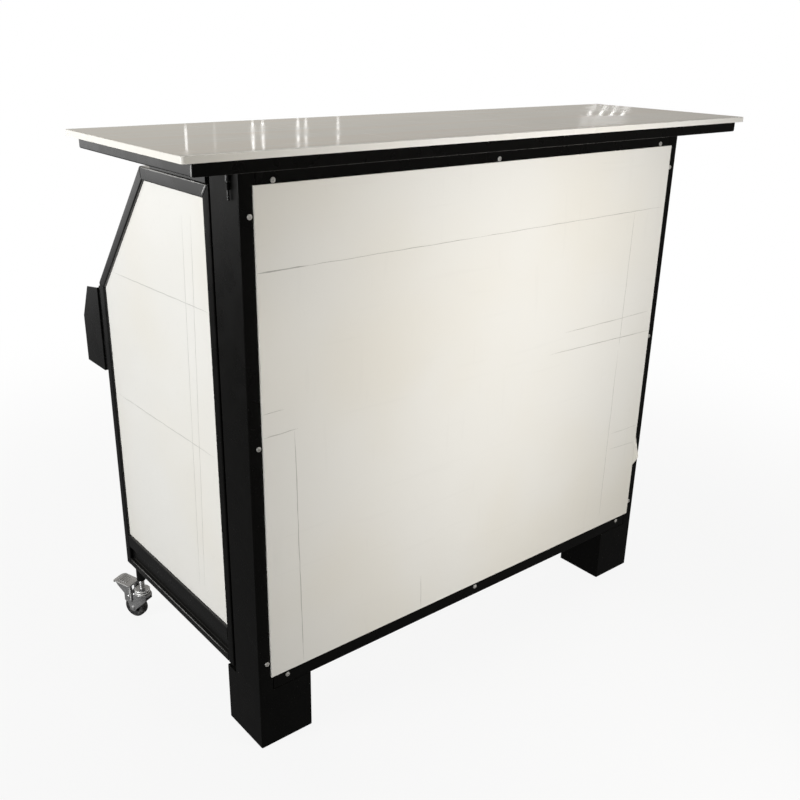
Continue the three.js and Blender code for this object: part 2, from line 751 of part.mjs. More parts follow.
// Hook: a lip in the bracket's slot, a bridge over plate and trough wall, a tab inside the trough.
function makeRailHook() {
  const x0 = WING_MID_X - HOOK_WIDTH / 2;
  const x1 = WING_MID_X + HOOK_WIDTH / 2;
  const slot = RAIL_STANDOFF - BRACKET_SWING_CLEARANCE - BRACKET_PLATE;
  const front = WING_REAR + slot - HOOK_CLEARANCE - HOOK_THICK;
  const tabFront = RAIL_FRONT + RAIL_SHEET + SEAT;
  const rear = tabFront + HOOK_THICK;
  const low = RAIL_TOP + SEAT;
  const high = low + HOOK_THICK;
  const tip = RAIL_TOP - HOOK_DROP;
  return join(
    box(x0, x1, front, rear, low, high),
    box(x0, x1, front, front + HOOK_THICK, tip, high),
    box(x0, x1, tabFront, rear, tip, high),
  );
}

addPair("rail_hook", makeRailHook(), blackPaint);

// Counter slab and the square tube frame under it, mitred at the corners.
add(
  bar,
  "counter_slab",
  prismZ(
    roundedRect(SLAB_LENGTH, SLAB_DEPTH, SLAB_CORNER_RADIUS, 6).map(([x, y]) => [
      x,
      y + SLAB_FRONT + SLAB_DEPTH / 2,
    ]),
    SLAB_LOW,
    SLAB_LOW + SLAB_THICK,
  ),
  slabSheet,
);

const counterX = SLAB_HALF - COUNTER_SIDE_INSET;
const counterFront = SLAB_FRONT + COUNTER_FRONT_INSET;
const counterRear = SLAB_REAR - COUNTER_REAR_INSET;
const counterMid = COUNTER_LOW + COUNTER_TUBE / 2;

// A plan outline that keeps one mitred side of the counter frame.
function mitredSide(shell, plan) {
  return solid(shell).intersect(prismZ(plan, COUNTER_LOW - 1, SLAB_LOW + 1));
}

const inX = counterX - COUNTER_TUBE;
const inFront = counterFront + COUNTER_TUBE;
const inRear = counterRear - COUNTER_TUBE;
const g = SEAT / 2;

function longTube(y) {
  const shell = tubeGeometry(COUNTER_TUBE, COUNTER_TUBE, COUNTER_TUBE_WALL, 2 * counterX);
  return shell.rotateY(Math.PI / 2).translate(-counterX, y, counterMid);
}

add(
  bar,
  "counter_tube_front",
  mitredSide(longTube(counterFront + COUNTER_TUBE / 2), [
    [-counterX + g, counterFront],
    [counterX - g, counterFront],
    [inX - g, inFront],
    [-inX + g, inFront],
  ]),
  blackPaint,
);
add(
  bar,
  "counter_tube_rear",
  mitredSide(longTube(counterRear - COUNTER_TUBE / 2), [
    [-inX + g, inRear],
    [inX - g, inRear],
    [counterX - g, counterRear],
    [-counterX + g, counterRear],
  ]),
  blackPaint,
);

const sideShell = tubeGeometry(
  COUNTER_TUBE,
  COUNTER_TUBE,
  COUNTER_TUBE_WALL,
  counterRear - counterFront,
);
sideShell.rotateX(-Math.PI / 2).translate(counterX - COUNTER_TUBE / 2, counterFront, counterMid);
addPair(
  "counter_tube",
  mitredSide(sideShell, [
    [counterX, counterFront + g],
    [counterX, counterRear - g],
    [inX, inRear - g],
    [inX, inFront + g],
  ]),
  blackPaint,
);

// Cross bar: an open-topped channel under the slab with a bearer over the wing and a pin.
function makeCross() {
  const wall = COUNTER_TUBE_WALL;
  const x1 = SIDE_X + CROSS_OUTBOARD;
  const x0 = x1 - CROSS_WIDTH;
  const front = inFront + SEAT;
  const rear = inRear - SEAT;
  const channel = box(x0, x1, front, rear, COUNTER_LOW, SLAB_LOW - SEAT);
  const channelHollow = box(x0 + wall, x1 - wall, front + wall, rear - wall, COUNTER_LOW + wall, SLAB_LOW);
  const bx0 = WING_MID_X - BEARER_WIDTH / 2;
  const bx1 = WING_MID_X + BEARER_WIDTH / 2;
  const bearerFront = WING_FRONT + BEARER_FRONT_CLEARANCE;
  const bearerRear = rear - BEARER_REAR_CLEARANCE;
  const bearerLow = WING_HIGH + SEAT;
  const bearer = box(bx0, bx1, bearerFront, bearerRear, bearerLow, COUNTER_LOW + wall);
  const bearerHollow = box(
    bx0 + wall,
    bx1 - wall,
    bearerFront + wall,
    bearerRear - wall,
    bearerLow + wall,
    SLAB_LOW,
  );
  const collarLow = SOCKET_TOP + PIN_COLLAR_GAP;
  const collar = cylinderZ(PIN_COLLAR_RADIUS, collarLow, COUNTER_LOW + wall, PIN_X + SEAT, PIN_FROM_FRONT);
  const pin = cylinderZ(PIN_RADIUS, SOCKET_TOP - PIN_LENGTH, collarLow + 1, PIN_X, PIN_FROM_FRONT);
  const postSide = box(x0, SIDE_X + SEAT, 0, POST_DEPTH, collarLow - 1, FRAME_TOP + SEAT / 2);
  return join(cut(join(channel, bearer), channelHollow, bearerHollow), collar.subtract(postSide), pin);
}

addPair("counter_cross", makeCross(), blackPaint);

// Casters.
const pinHeadTop = FORK_TOP - FORK_PLATE - SWIVEL_GAP;
const stem = lathe(
  [
    [0, pinHeadTop - KINGPIN_HEAD_THICK],
    [KINGPIN_HEAD_RADIUS, pinHeadTop - KINGPIN_HEAD_THICK],
    [KINGPIN_HEAD_RADIUS, pinHeadTop],
    [KINGPIN_RADIUS, pinHeadTop],
    [KINGPIN_RADIUS, RACE_LOW],
    [RACE_RADIUS, RACE_LOW],
    [RACE_RADIUS, RACE_LOW + RACE_THICK],
    [STEM_RADIUS, RACE_LOW + RACE_THICK],
    [STEM_RADIUS, WING_LOW - STEM_TOP_SINK],
    [0, WING_LOW - STEM_TOP_SINK],
  ],
  24,
);

// The fork trails along its own +X and turns with the wheel and pedal about the stem.
function makeFork() {
  const holeRadius = KINGPIN_RADIUS + SWIVEL_GAP;
  const plate = cut(
    box(-FORK_FRONT, FORK_BACK, -FORK_OUTER, FORK_OUTER, FORK_TOP - FORK_PLATE, FORK_TOP),
    cylinderZ(holeRadius, FORK_TOP - FORK_PLATE - 1, FORK_TOP + 1),
  );
  const boss = AXLE_HEAD_RADIUS + 2;
  const cheek = [
    [-FORK_FRONT, FORK_TOP],
    [-FORK_FRONT, FORK_TOP - 9],
    [WHEEL_TRAIL - boss, WHEEL_RADIUS],
    [WHEEL_TRAIL - boss * 0.6, WHEEL_RADIUS - boss * 0.8],
    [WHEEL_TRAIL, WHEEL_RADIUS - boss],
    [WHEEL_TRAIL + boss * 0.6, WHEEL_RADIUS - boss * 0.8],
    [WHEEL_TRAIL + boss, WHEEL_RADIUS],
    [FORK_CHEEK_BACK, FORK_CHEEK_LOW],
    [FORK_CHEEK_BACK, PEDAL_PIVOT_HEIGHT],
    [FORK_BACK, FORK_TOP],
  ];
  const axleEnd = FORK_OUTER + AXLE_HEAD_THICK;
  const axle = cylinderY(AXLE_RADIUS, -axleEnd, axleEnd, WHEEL_TRAIL, WHEEL_RADIUS, 16);
  const pieces = [axle];
  for (const side of [-1, 1]) {
    const span = (a, b) => [Math.min(side * a, side * b), Math.max(side * a, side * b)];
    pieces.push(prismY(cheek, ...span(FORK_INNER, FORK_OUTER)));
    pieces.push(
      cylinderY(AXLE_HEAD_RADIUS, ...span(FORK_OUTER - 0.5, axleEnd), WHEEL_TRAIL, WHEEL_RADIUS, 16),
    );
    pieces.push(
      cylinderY(
        PEDAL_PIVOT_RADIUS,
        ...span(FORK_OUTER - 0.5, PEDAL_ARM_OUTER + SWIVEL_GAP),
        PEDAL_PIVOT_TRAIL,
        PEDAL_PIVOT_HEIGHT,
        16,
      ),
    );
  }
  return join(plate, ...pieces);
}

function makeWheel() {
  const half = WHEEL_WIDTH / 2;
  const bore = AXLE_RADIUS + AXLE_CLEARANCE;
  const tyre = lathe(
    [
      [bore, -half],
      [WHEEL_RADIUS - 4, -half],
      [WHEEL_RADIUS - 1, -half + 1.5],
      [WHEEL_RADIUS, -half + 4],
      [WHEEL_RADIUS, half - 4],
      [WHEEL_RADIUS - 1, half - 1.5],
      [WHEEL_RADIUS - 4, half],
      [bore, half],
      [bore, -half],
    ],
    32,
  );
  return tyre;
}

// Pedal: a plate that climbs to a bend and drops to its tip, on two broad arms beside the fork.
function makePedal() {
  const tip = PEDAL_PLATE_START + PEDAL_PLATE_LENGTH;
  const bend = tip - PEDAL_TIP_LENGTH;
  const slope = PEDAL_PLATE_CLIMB / (bend - PEDAL_PLATE_START);
  const plateTop = (trail) => PEDAL_PLATE_HEIGHT + (trail - PEDAL_PLATE_START) * slope;
  const plateLow = (trail) => plateTop(trail) - PEDAL_PLATE_THICK;
  const tipTop = plateTop(bend) - PEDAL_TIP_DROP;
  const plate = prismY(
    [
      [PEDAL_PLATE_START, plateLow(PEDAL_PLATE_START)],
      [bend, plateLow(bend)],
      [tip, tipTop - PEDAL_PLATE_THICK],
      [tip, tipTop],
      [bend, plateTop(bend)],
      [PEDAL_PLATE_START, plateTop(PEDAL_PLATE_START)],
    ],
    -PEDAL_ARM_OUTER,
    PEDAL_ARM_OUTER,
  );
  const armEnd = PEDAL_PLATE_START + PEDAL_ARM_RUN;
  const armFront = PEDAL_PIVOT_TRAIL - PEDAL_ARM_AHEAD;
  const armBack = PEDAL_PIVOT_TRAIL + PEDAL_ARM_BEHIND;
  const arm = [
    [armFront, PEDAL_PIVOT_HEIGHT - PEDAL_ARM_FOOT],
    [armBack, PEDAL_PIVOT_HEIGHT - PEDAL_ARM_FOOT],
    [armBack, PEDAL_PIVOT_HEIGHT + PEDAL_ARM_KNEE],
    [armEnd, plateLow(armEnd) - PEDAL_ARM_LIP],
    [armEnd, plateTop(armEnd)],
    [PEDAL_PLATE_START, PEDAL_PLATE_HEIGHT],
    [armFront, PEDAL_PIVOT_HEIGHT + PEDAL_ARM_KNEE],
  ];
  const corner = (side) =>
    prismZ(
      [
        [tip - PEDAL_TIP_CHAMFER - 1, side * (PEDAL_ARM_OUTER + 1)],
        [tip + 1, side * (PEDAL_ARM_OUTER - PEDAL_TIP_CHAMFER - 1)],
        [tip + 1, side * (PEDAL_ARM_OUTER + 1)],
      ],
      FORK_TOP,
      plateTop(bend) + 1,
    );
  const treadHeight = WHEEL_RADIUS + Math.sqrt(WHEEL_RADIUS ** 2 - PEDAL_SHOE_REACH ** 2);
  const shoe = box(
    PEDAL_SHOE_TRAIL,
    PEDAL_SHOE_TRAIL + PEDAL_SHOE_THICK,
    -PEDAL_SHOE_WIDTH / 2,
    PEDAL_SHOE_WIDTH / 2,
    treadHeight + PEDAL_SHOE_GAP,
    plateTop(PEDAL_SHOE_TRAIL) - PEDAL_PLATE_THICK / 2,
  );
  const radius = PEDAL_PIVOT_RADIUS + SWIVEL_GAP;
  const eye = cylinderY(radius, -40, 40, PEDAL_PIVOT_TRAIL, PEDAL_PIVOT_HEIGHT, 16);
  return cut(
    join(
      plate,
      prismY(arm, PEDAL_ARM_INNER, PEDAL_ARM_OUTER),
      prismY(arm, -PEDAL_ARM_OUTER, -PEDAL_ARM_INNER),
      shoe,
    ),
    eye,
    corner(-1),
    corner(1),
  );
}

const fork = makeFork();
const wheel = makeWheel();
const pedal = makePedal();
for (const { label, group } of sides) {
  const caster = new THREE.Group();
  caster.position.set(WING_MID_X, CASTER_Y, 0);
  group.add(caster);
  add(caster, `caster_stem_${label}`, stem, zinc);
  const swivel = new THREE.Group();
  swivel.rotation.z = Math.PI / 2 - THREE.MathUtils.degToRad(CASTER_SWING_DEG);
  caster.add(swivel);
  add(swivel, `caster_fork_${label}`, fork, zinc);
  const tyre = add(swivel, `caster_wheel_${label}`, wheel, wheelGrey);
  tyre.rotation.x = Math.PI / 2;
  tyre.position.set(WHEEL_TRAIL, 0, WHEEL_RADIUS);
  add(swivel, `brake_pedal_${label}`, pedal, zinc);
}

export default bar;
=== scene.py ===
"""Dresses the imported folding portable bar: finishes, film on the panels, screws, casters, light and camera.

All sizes are in metres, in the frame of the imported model: X to the right, Y to the back, Z up.
"""

import json
import logging
import math
import random
from dataclasses import dataclass, field
from enum import Enum
from typing import Dict, List, Optional, Sequence, Tuple, Union

import bmesh
import bpy
from mathutils import Matrix, Vector


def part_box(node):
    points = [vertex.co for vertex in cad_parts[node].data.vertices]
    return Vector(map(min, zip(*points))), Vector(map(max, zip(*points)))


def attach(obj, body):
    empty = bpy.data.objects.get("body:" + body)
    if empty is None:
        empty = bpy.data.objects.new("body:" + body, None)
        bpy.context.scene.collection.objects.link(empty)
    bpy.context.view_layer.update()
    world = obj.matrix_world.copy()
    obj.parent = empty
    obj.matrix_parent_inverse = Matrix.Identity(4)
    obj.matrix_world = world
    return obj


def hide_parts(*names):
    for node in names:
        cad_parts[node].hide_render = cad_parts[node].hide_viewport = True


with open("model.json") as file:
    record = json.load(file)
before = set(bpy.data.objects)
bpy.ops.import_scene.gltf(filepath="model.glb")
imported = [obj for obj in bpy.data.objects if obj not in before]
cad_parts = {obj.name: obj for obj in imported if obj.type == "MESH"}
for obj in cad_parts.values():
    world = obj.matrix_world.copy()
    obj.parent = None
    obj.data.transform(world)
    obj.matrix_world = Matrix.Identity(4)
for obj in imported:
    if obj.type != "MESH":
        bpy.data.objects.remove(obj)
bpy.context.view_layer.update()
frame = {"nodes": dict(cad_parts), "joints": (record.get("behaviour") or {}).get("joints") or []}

LOG = logging.getLogger("portable_bar")

MM = 0.001
CREASE_ANGLE = math.radians(35.0)
EDGE_STEPS = 3
SHEET_STEPS = 2

Point2 = Tuple[float, float]
Point3 = Tuple[float, float, float]
Span = Tuple[float, float]
Colour = Tuple[float, float, float]
Feed = Union[float, Colour, bpy.types.NodeSocket]
Outputs = Dict[str, bpy.types.NodeSocket]

ACROSS = Vector((1.0, 0.0, 0.0))
BACK = Vector((0.0, 1.0, 0.0))
FRONT = Vector((0.0, -1.0, 0.0))
UP = Vector((0.0, 0.0, 1.0))
WHITE = (1.0, 1.0, 1.0)

# Stands an outline up: its second coordinate then points up, and what pointed up points to the front.
STOOD_UP = Matrix.Rotation(math.radians(90.0), 4, "X")


class Side(Enum):
    """The two hands of the bar, as seen from the guests' side."""

    LEFT = "left"
    RIGHT = "right"

    @property
    def out(self) -> Vector:
        """The way out of the bar on this side."""
        return Vector((-1.0 if self is Side.LEFT else 1.0, 0.0, 0.0))

    def outer(self, low: Vector, high: Vector) -> float:
        """Returns where the outer face of a box lies across the bar."""
        return low.x if self is Side.LEFT else high.x

    def named(self, name: str) -> str:
        """Returns the name that a node, a body or a piece has on this side."""
        return f"{name}_{self.value}"


class Cut(Enum):
    """How two closed shells are put together."""

    UNION = "UNION"
    DIFFERENCE = "DIFFERENCE"
    INTERSECT = "INTERSECT"


class Effect(Enum):
    """Surface effects that more than one finish uses."""

    GRAIN = "coat_grain"
    WEAR = "edge_wear"
    DUST = "settled_dust"
    SMUDGE = "hand_smudge"
    DRAWN = "drawn_lines"
    SCRATCH = "fine_scratches"


class Graph:
    """Short calls for adding nodes to one tree and wiring them."""

    def __init__(self, tree: bpy.types.NodeTree) -> None:
        """Keeps the tree that the nodes go into."""
        self.tree = tree

    def feed(self, socket: bpy.types.NodeSocket, value: Feed) -> None:
        """Links a socket to another one, or sets its value.

        Args:
            socket: the input to fill.
            value: an output socket, a number or a colour.
        """
        if isinstance(value, bpy.types.NodeSocket):
            self.tree.links.new(value, socket)
        elif isinstance(value, tuple) and len(value) == 3 and socket.type == "RGBA":
            socket.default_value = (*value, 1.0)
        else:
            socket.default_value = value

    def add(self, kind: str, inputs: Optional[Dict] = None, **settings: object) -> bpy.types.Node:
        """Adds one node.

        Args:
            kind: the node's type name.
            inputs: what feeds its inputs, by name or number.
            settings: the node's own properties.

        Returns:
            The new node.
        """
        node = self.tree.nodes.new(kind)
        for name, value in settings.items():
            setattr(node, name, value)
        for key, value in (inputs or {}).items():
            self.feed(node.inputs[key], value)
        return node

    def math(self, operation: str, a: Feed, b: Feed, clamp: bool = False) -> bpy.types.NodeSocket:
        """Adds a Math node and returns its result."""
        node = self.add("ShaderNodeMath", {0: a, 1: b}, operation=operation, use_clamp=clamp)
        return node.outputs[0]

    def span(
        self, value: Feed, low: Feed, high: Feed, start: Feed = 0.0, end: Feed = 1.0
    ) -> bpy.types.NodeSocket:
        """Eases a value from one range into another and returns the result."""
        inputs = {"Value": value, "From Min": low, "From Max": high, "To Min": start, "To Max": end}
        return self.add("ShaderNodeMapRange", inputs, interpolation_type="SMOOTHSTEP").outputs["Result"]

    def mix(self, factor: Feed, a: Feed, b: Feed) -> bpy.types.NodeSocket:
        """Mixes two colours by a factor and returns the result."""
        node = self.add("ShaderNodeMix", {0: factor, 6: a, 7: b}, data_type="RGBA")
        return node.outputs[2]

    def noise(
        self, vector: Feed, scale: Feed, detail: float = 2.0, distortion: float = 0.0
    ) -> bpy.types.NodeSocket:
        """Adds a noise texture and returns its value."""
        inputs = {"Vector": vector, "Scale": scale, "Detail": detail, "Distortion": distortion}
        return self.add("ShaderNodeTexNoise", inputs).outputs[0]

    def place(self) -> bpy.types.NodeSocket:
        """Returns the place on the object, in metres."""
        return self.add("ShaderNodeTexCoord").outputs["Object"]

    def stretched(self, vector: Feed, factors: Point3) -> bpy.types.NodeSocket:
        """Scales a place by one factor along each axis and returns it."""
        node = self.add("ShaderNodeVectorMath", {0: vector, 1: factors}, operation="MULTIPLY")
        return node.outputs[0]

    def bump(
        self, height: Feed, strength: float, depth: float, under: Optional[bpy.types.NodeSocket] = None
    ) -> bpy.types.NodeSocket:
        """Turns a height into a normal.

        Args:
            height: the height, from 0 to 1.
            strength: how strongly it shows.
            depth: how deep it is.
            under: a normal that it lies on, if any.

        Returns:
            The normal.
        """
        inputs = {"Height": height, "Strength": strength, "Distance": depth}
        if under is not None:
            inputs["Normal"] = under
        return self.add("ShaderNodeBump", inputs).outputs["Normal"]


@dataclass
class Effects:
    """Builds each shared effect once as a node group and places it in the finishes.

    A span holds the two values between which a noise or a slope is eased from nothing to all.
    """

    tone_share: float = 0.03
    edge_samples: int = 4
    edge_span: Span = (0.995, 0.86)
    patch_scale: float = 55.0
    patch_span: Span = (0.42, 0.66)
    lying_span: Span = (0.2, 0.95)
    lying_share: Span = (0.12, 1.0)
    dust_span: Span = (0.38, 0.72)
    smudge_span: Span = (0.3, 0.7)
    line_share: float = 0.22
    hair_stretches: Tuple[Point3, Point3] = ((0.06, 1.0, 1.0), (1.0, 0.06, 0.09))
    hair_spans: Tuple[Span, Span] = ((0.66, 0.72), (0.67, 0.73))
    groups: Dict[Effect, bpy.types.NodeTree] = field(default_factory=dict)

    def place(self, graph: Graph, effect: Effect, **values: Feed) -> bpy.types.Node:
        """Places an effect in a material.

        Args:
            graph: the material's nodes.
            effect: which effect.
            values: what feeds the group's inputs, by name.

        Returns:
            The group node, whose outputs carry the effect.
        """
        if effect not in self.groups:
            self.groups[effect] = self._build(effect)
        node = graph.add("ShaderNodeGroup", node_tree=self.groups[effect])
        for name, value in values.items():
            graph.feed(node.inputs[name.title()], value)
        return node

    def _build(self, effect: Effect) -> bpy.types.NodeTree:
        """Makes the node group of one effect.

        Args:
            effect: which effect.

        Returns:
            The group, with its named inputs and outputs.
        """
        makers = {
            Effect.GRAIN: (self._grain, ("Scale",), ("Height", "Tone")),
            Effect.WEAR: (self._wear, ("Radius", "Amount"), ("Mask",)),
            Effect.DUST: (self._dust, ("Amount", "Scale"), ("Mask",)),
            Effect.SMUDGE: (self._smudge, ("Scale", "Low", "High"), ("Value",)),
            Effect.DRAWN: (self._drawn, ("Scale", "Stretch"), ("Height", "Tone")),
            Effect.SCRATCH: (self._scratch, ("Scale", "Amount"), ("Mask",)),
        }
        maker, inputs, outputs = makers[effect]
        tree = bpy.data.node_groups.new(effect.value, "ShaderNodeTree")
        for name in inputs:
            tree.interface.new_socket(name, in_out="INPUT", socket_type="NodeSocketFloat")
        for name in outputs:
            tree.interface.new_socket(name, in_out="OUTPUT", socket_type="NodeSocketFloat")
        graph = Graph(tree)
        given = graph.add("NodeGroupInput").outputs
        put_out = graph.add("NodeGroupOutput").inputs
        for name, socket in maker(graph, given).items():
            graph.feed(put_out[name], socket)
        return tree

    def _grain(self, graph: Graph, given: bpy.types.NodeOutputs) -> Outputs:
        """Orange-peel grain of a sprayed coat, with a slow drift of tone.

        Args:
            graph: the group's nodes.
            given: the group's inputs.

        Returns:
            What each output of the group carries.
        """
        place = graph.place()
        broad = graph.math("MULTIPLY", given["Scale"], self.tone_share)
        height = graph.noise(place, given["Scale"], detail=3.0)
        return {"Height": height, "Tone": graph.noise(place, broad)}

    def _wear(self, graph: Graph, given: bpy.types.NodeOutputs) -> Outputs:
        """Lighter edges, partly real wear and partly a painted highlight: strong where the surface turns,
        broken up by noise.

        Args:
            graph: the group's nodes.
            given: the group's inputs.

        Returns:
            What each output of the group carries.
        """
        bevel = graph.add("ShaderNodeBevel", {"Radius": given["Radius"]}, samples=self.edge_samples)
        flat = graph.add("ShaderNodeNewGeometry").outputs["Normal"]
        turned = graph.add("ShaderNodeVectorMath", {0: bevel.outputs[0], 1: flat}, operation="DOT_PRODUCT")
        edge = graph.span(turned.outputs["Value"], *self.edge_span)
        patches = graph.noise(graph.place(), self.patch_scale, detail=4.0)
        worn = graph.math("MULTIPLY", edge, graph.span(patches, *self.patch_span))
        return {"Mask": graph.math("MULTIPLY", worn, given["Amount"], clamp=True)}

    def _dust(self, graph: Graph, given: bpy.types.NodeOutputs) -> Outputs:
        """Dust that settles on what faces up, in soft patches.

        Args:
            graph: the group's nodes.
            given: the group's inputs.

        Returns:
            What each output of the group carries.
        """
        normal = graph.add("ShaderNodeNewGeometry").outputs["Normal"]
        upward = graph.add("ShaderNodeSeparateXYZ", {0: normal}).outputs["Z"]
        lying = graph.span(upward, *self.lying_span, *self.lying_share)
        patches = graph.noise(graph.place(), given["Scale"], detail=5.0)
        settled = graph.math("MULTIPLY", lying, graph.span(patches, *self.dust_span))
        return {"Mask": graph.math("MULTIPLY", settled, given["Amount"], clamp=True)}

    def _smudge(self, graph: Graph, given: bpy.types.NodeOutputs) -> Outputs:
        """Hand marks and wipes that change the gloss between two values."""
        drift = graph.noise(graph.place(), given["Scale"], detail=3.0, distortion=0.15)
        return {"Value": graph.span(drift, *self.smudge_span, given["Low"], given["High"])}

    def _drawn(self, graph: Graph, given: bpy.types.NodeOutputs) -> Outputs:
        """Lines drawn along X, as rolling and pulling leave them.

        Args:
            graph: the group's nodes.
            given: the group's inputs.

        Returns:
            What each output of the group carries.
        """
        parts = graph.add("ShaderNodeSeparateXYZ", {0: graph.place()}).outputs
        along = graph.math("MULTIPLY", parts["X"], given["Stretch"])
        place = graph.add("ShaderNodeCombineXYZ", {0: along, 1: parts["Y"], 2: parts["Z"]}).outputs[0]
        broad = graph.math("MULTIPLY", given["Scale"], self.line_share)
        height = graph.noise(place, given["Scale"], detail=3.0)
        return {"Height": height, "Tone": graph.noise(place, broad, detail=3.0)}

    def _scratch(self, graph: Graph, given: bpy.types.NodeOutputs) -> Outputs:
        """Hair scratches in two crossing directions.

        Args:
            graph: the group's nodes.
            given: the group's inputs.

        Returns:
            What each output of the group carries.
        """
        place = graph.place()
        hairs = []
        for stretch, span in zip(self.hair_stretches, self.hair_spans):
            drift = graph.noise(graph.stretched(place, stretch), given["Scale"], detail=1.0, distortion=0.2)
            hairs.append(graph.span(drift, *span))
        crossed = graph.math("MAXIMUM", *hairs)
        return {"Mask": graph.math("MULTIPLY", crossed, given["Amount"], clamp=True)}


@dataclass(frozen=True)
class Finish:
    """What every finish has: a name, a colour, a gloss and a strength of reflection."""

    name: str
    colour: Colour
    roughness: float
    specular: float = 0.5

    def start(self) -> Tuple[bpy.types.Material, Graph, bpy.types.Node]:
        """Makes the material with its shader.

        Returns:
            The material, its nodes and the shader node.
        """
        material = bpy.data.materials.new(self.name)
        material.use_nodes = True
        material.node_tree.nodes.clear()
        material.diffuse_color = (*self.colour, 1.0)
        graph = Graph(material.node_tree)
        shader = graph.add("ShaderNodeBsdfPrincipled")
        graph.feed(shader.inputs["Base Color"], self.colour)
        shader.inputs["Roughness"].default_value = self.roughness
        shader.inputs["Specular IOR Level"].default_value = self.specular
        output = graph.add("ShaderNodeOutputMaterial")
        graph.feed(output.inputs["Surface"], shader.outputs[0])
        return material, graph, shader

    def glosses(self, changes: Span) -> Span:
        """Returns the roughness with each of two changes."""
        return self.roughness + changes[0], self.roughness + changes[1]

    def build(self, effects: Effects) -> bpy.types.Material:
        """Builds the material and returns it."""
        raise NotImplementedError


@dataclass(frozen=True)
class PowderCoat(Finish):
    """Semi-gloss powder coat with orange peel, edges lightened partly by real wear and partly as a painted
    highlight, and a little dust.
    """

    grain_scale: float = 900.0
    grain_depth: float = 0.12 * MM
    grain_strength: float = 0.35
    tone_span: Span = (0.3, 0.7)
    tone_gloss: Span = (-0.05, 0.07)
    # Edges turn this lighter colour partly as real wear and partly as a painted edge highlight.
    worn_and_highlight_colour: Colour = (0.055, 0.054, 0.052)
    wear_and_highlight_radius: float = 2.2 * MM
    wear: float = 0.55
    dust_colour: Colour = (0.16, 0.155, 0.145)
    dust_scale: float = 38.0
    dust_dulling: float = 0.5
    dust: float = 0.05
    coat: float = 0.0

    def build(self, effects: Effects) -> bpy.types.Material:
        """Builds the material.

        Args:
            effects: the shared effects.

        Returns:
            The material.
        """
        material, graph, shader = self.start()
        shader.inputs["Coat Weight"].default_value = self.coat
        shader.inputs["Coat Roughness"].default_value = self.roughness
        grain = effects.place(graph, Effect.GRAIN, scale=self.grain_scale).outputs
        # Lighter edges: partly real wear, partly a painted highlight.
        worn = effects.place(graph, Effect.WEAR, radius=self.wear_and_highlight_radius, amount=self.wear).outputs["Mask"]
        dust = effects.place(graph, Effect.DUST, amount=self.dust, scale=self.dust_scale).outputs["Mask"]
        rubbed = graph.mix(worn, self.colour, self.worn_and_highlight_colour)
        graph.feed(shader.inputs["Base Color"], graph.mix(dust, rubbed, self.dust_colour))
        gloss = graph.span(grain["Tone"], *self.tone_span, *self.glosses(self.tone_gloss))
        dulled = graph.math("ADD", gloss, graph.math("MULTIPLY", dust, self.dust_dulling))
        graph.feed(shader.inputs["Roughness"], dulled)
        peel = graph.bump(grain["Height"], self.grain_strength, self.grain_depth)
        graph.feed(shader.inputs["Normal"], peel)
        return material


@dataclass(frozen=True, kw_only=True)
class HandledFinish(Finish):
    """A finish whose gloss drifts with hand marks."""

    smudge_scale: float
    smudge_gloss: Span

    def smudge(self, effects: Effects, graph: Graph, shader: bpy.types.Node) -> None:
        """Lets hand marks change the shader's roughness.

        Args:
            effects: the shared effects.
            graph: the material's nodes.
            shader: the shader node.
        """
        low, high = self.glosses(self.smudge_gloss)
        marks = effects.place(graph, Effect.SMUDGE, scale=self.smudge_scale, low=low, high=high)
        graph.feed(shader.inputs["Roughness"], marks.outputs["Value"])


@dataclass(frozen=True, kw_only=True)
class ScratchedFinish(HandledFinish):
    """A handled finish with hair scratches."""

    scratch_colour: Colour
    scratch_scale: float
    scratches: float

    def scratch(self, effects: Effects, graph: Graph, shader: bpy.types.Node, tone: Feed) -> None:
        """Draws hair scratches over a colour and gives it to the shader.

        Args:
            effects: the shared effects.
            graph: the material's nodes.
            shader: the shader node.
            tone: the colour under the scratches.
        """
        hairs = effects.place(graph, Effect.SCRATCH, scale=self.scratch_scale, amount=self.scratches)
        scratched = graph.mix(hairs.outputs["Mask"], tone, self.scratch_colour)
        graph.feed(shader.inputs["Base Color"], scratched)


@dataclass(frozen=True)
class FilmedAcrylic(ScratchedFinish):
    """White gloss acrylic under a thin film that ripples and has been handled."""

    warm_colour: Colour = (0.77, 0.735, 0.66)
    cloud_scale: float = 2.6
    cloud_span: Span = (0.36, 0.68)
    cloud_share: float = 0.5
    ripple_scale: float = 6.0
    ripple_depth: float = 0.3 * MM
    ripple_strength: float = 0.5
    scratch_colour: Colour = (0.58, 0.57, 0.55)
    scratch_scale: float = 70.0
    scratches: float = 0.04
    smudge_scale: float = 4.0
    smudge_gloss: Span = (-0.02, 0.04)

    def build(self, effects: Effects) -> bpy.types.Material:
        """Builds the material.

        Args:
            effects: the shared effects.

        Returns:
            The material.
        """
        material, graph, shader = self.start()
        place = graph.place()
        drift = graph.noise(place, self.cloud_scale)
        cloud = graph.span(drift, *self.cloud_span, 0.0, self.cloud_share)
        self.scratch(effects, graph, shader, graph.mix(cloud, self.colour, self.warm_colour))
        self.smudge(effects, graph, shader)
        ripple = graph.noise(place, self.ripple_scale, detail=1.5, distortion=0.4)
        waves = graph.bump(ripple, self.ripple_strength, self.ripple_depth)
        graph.feed(shader.inputs["Normal"], waves)
        return material


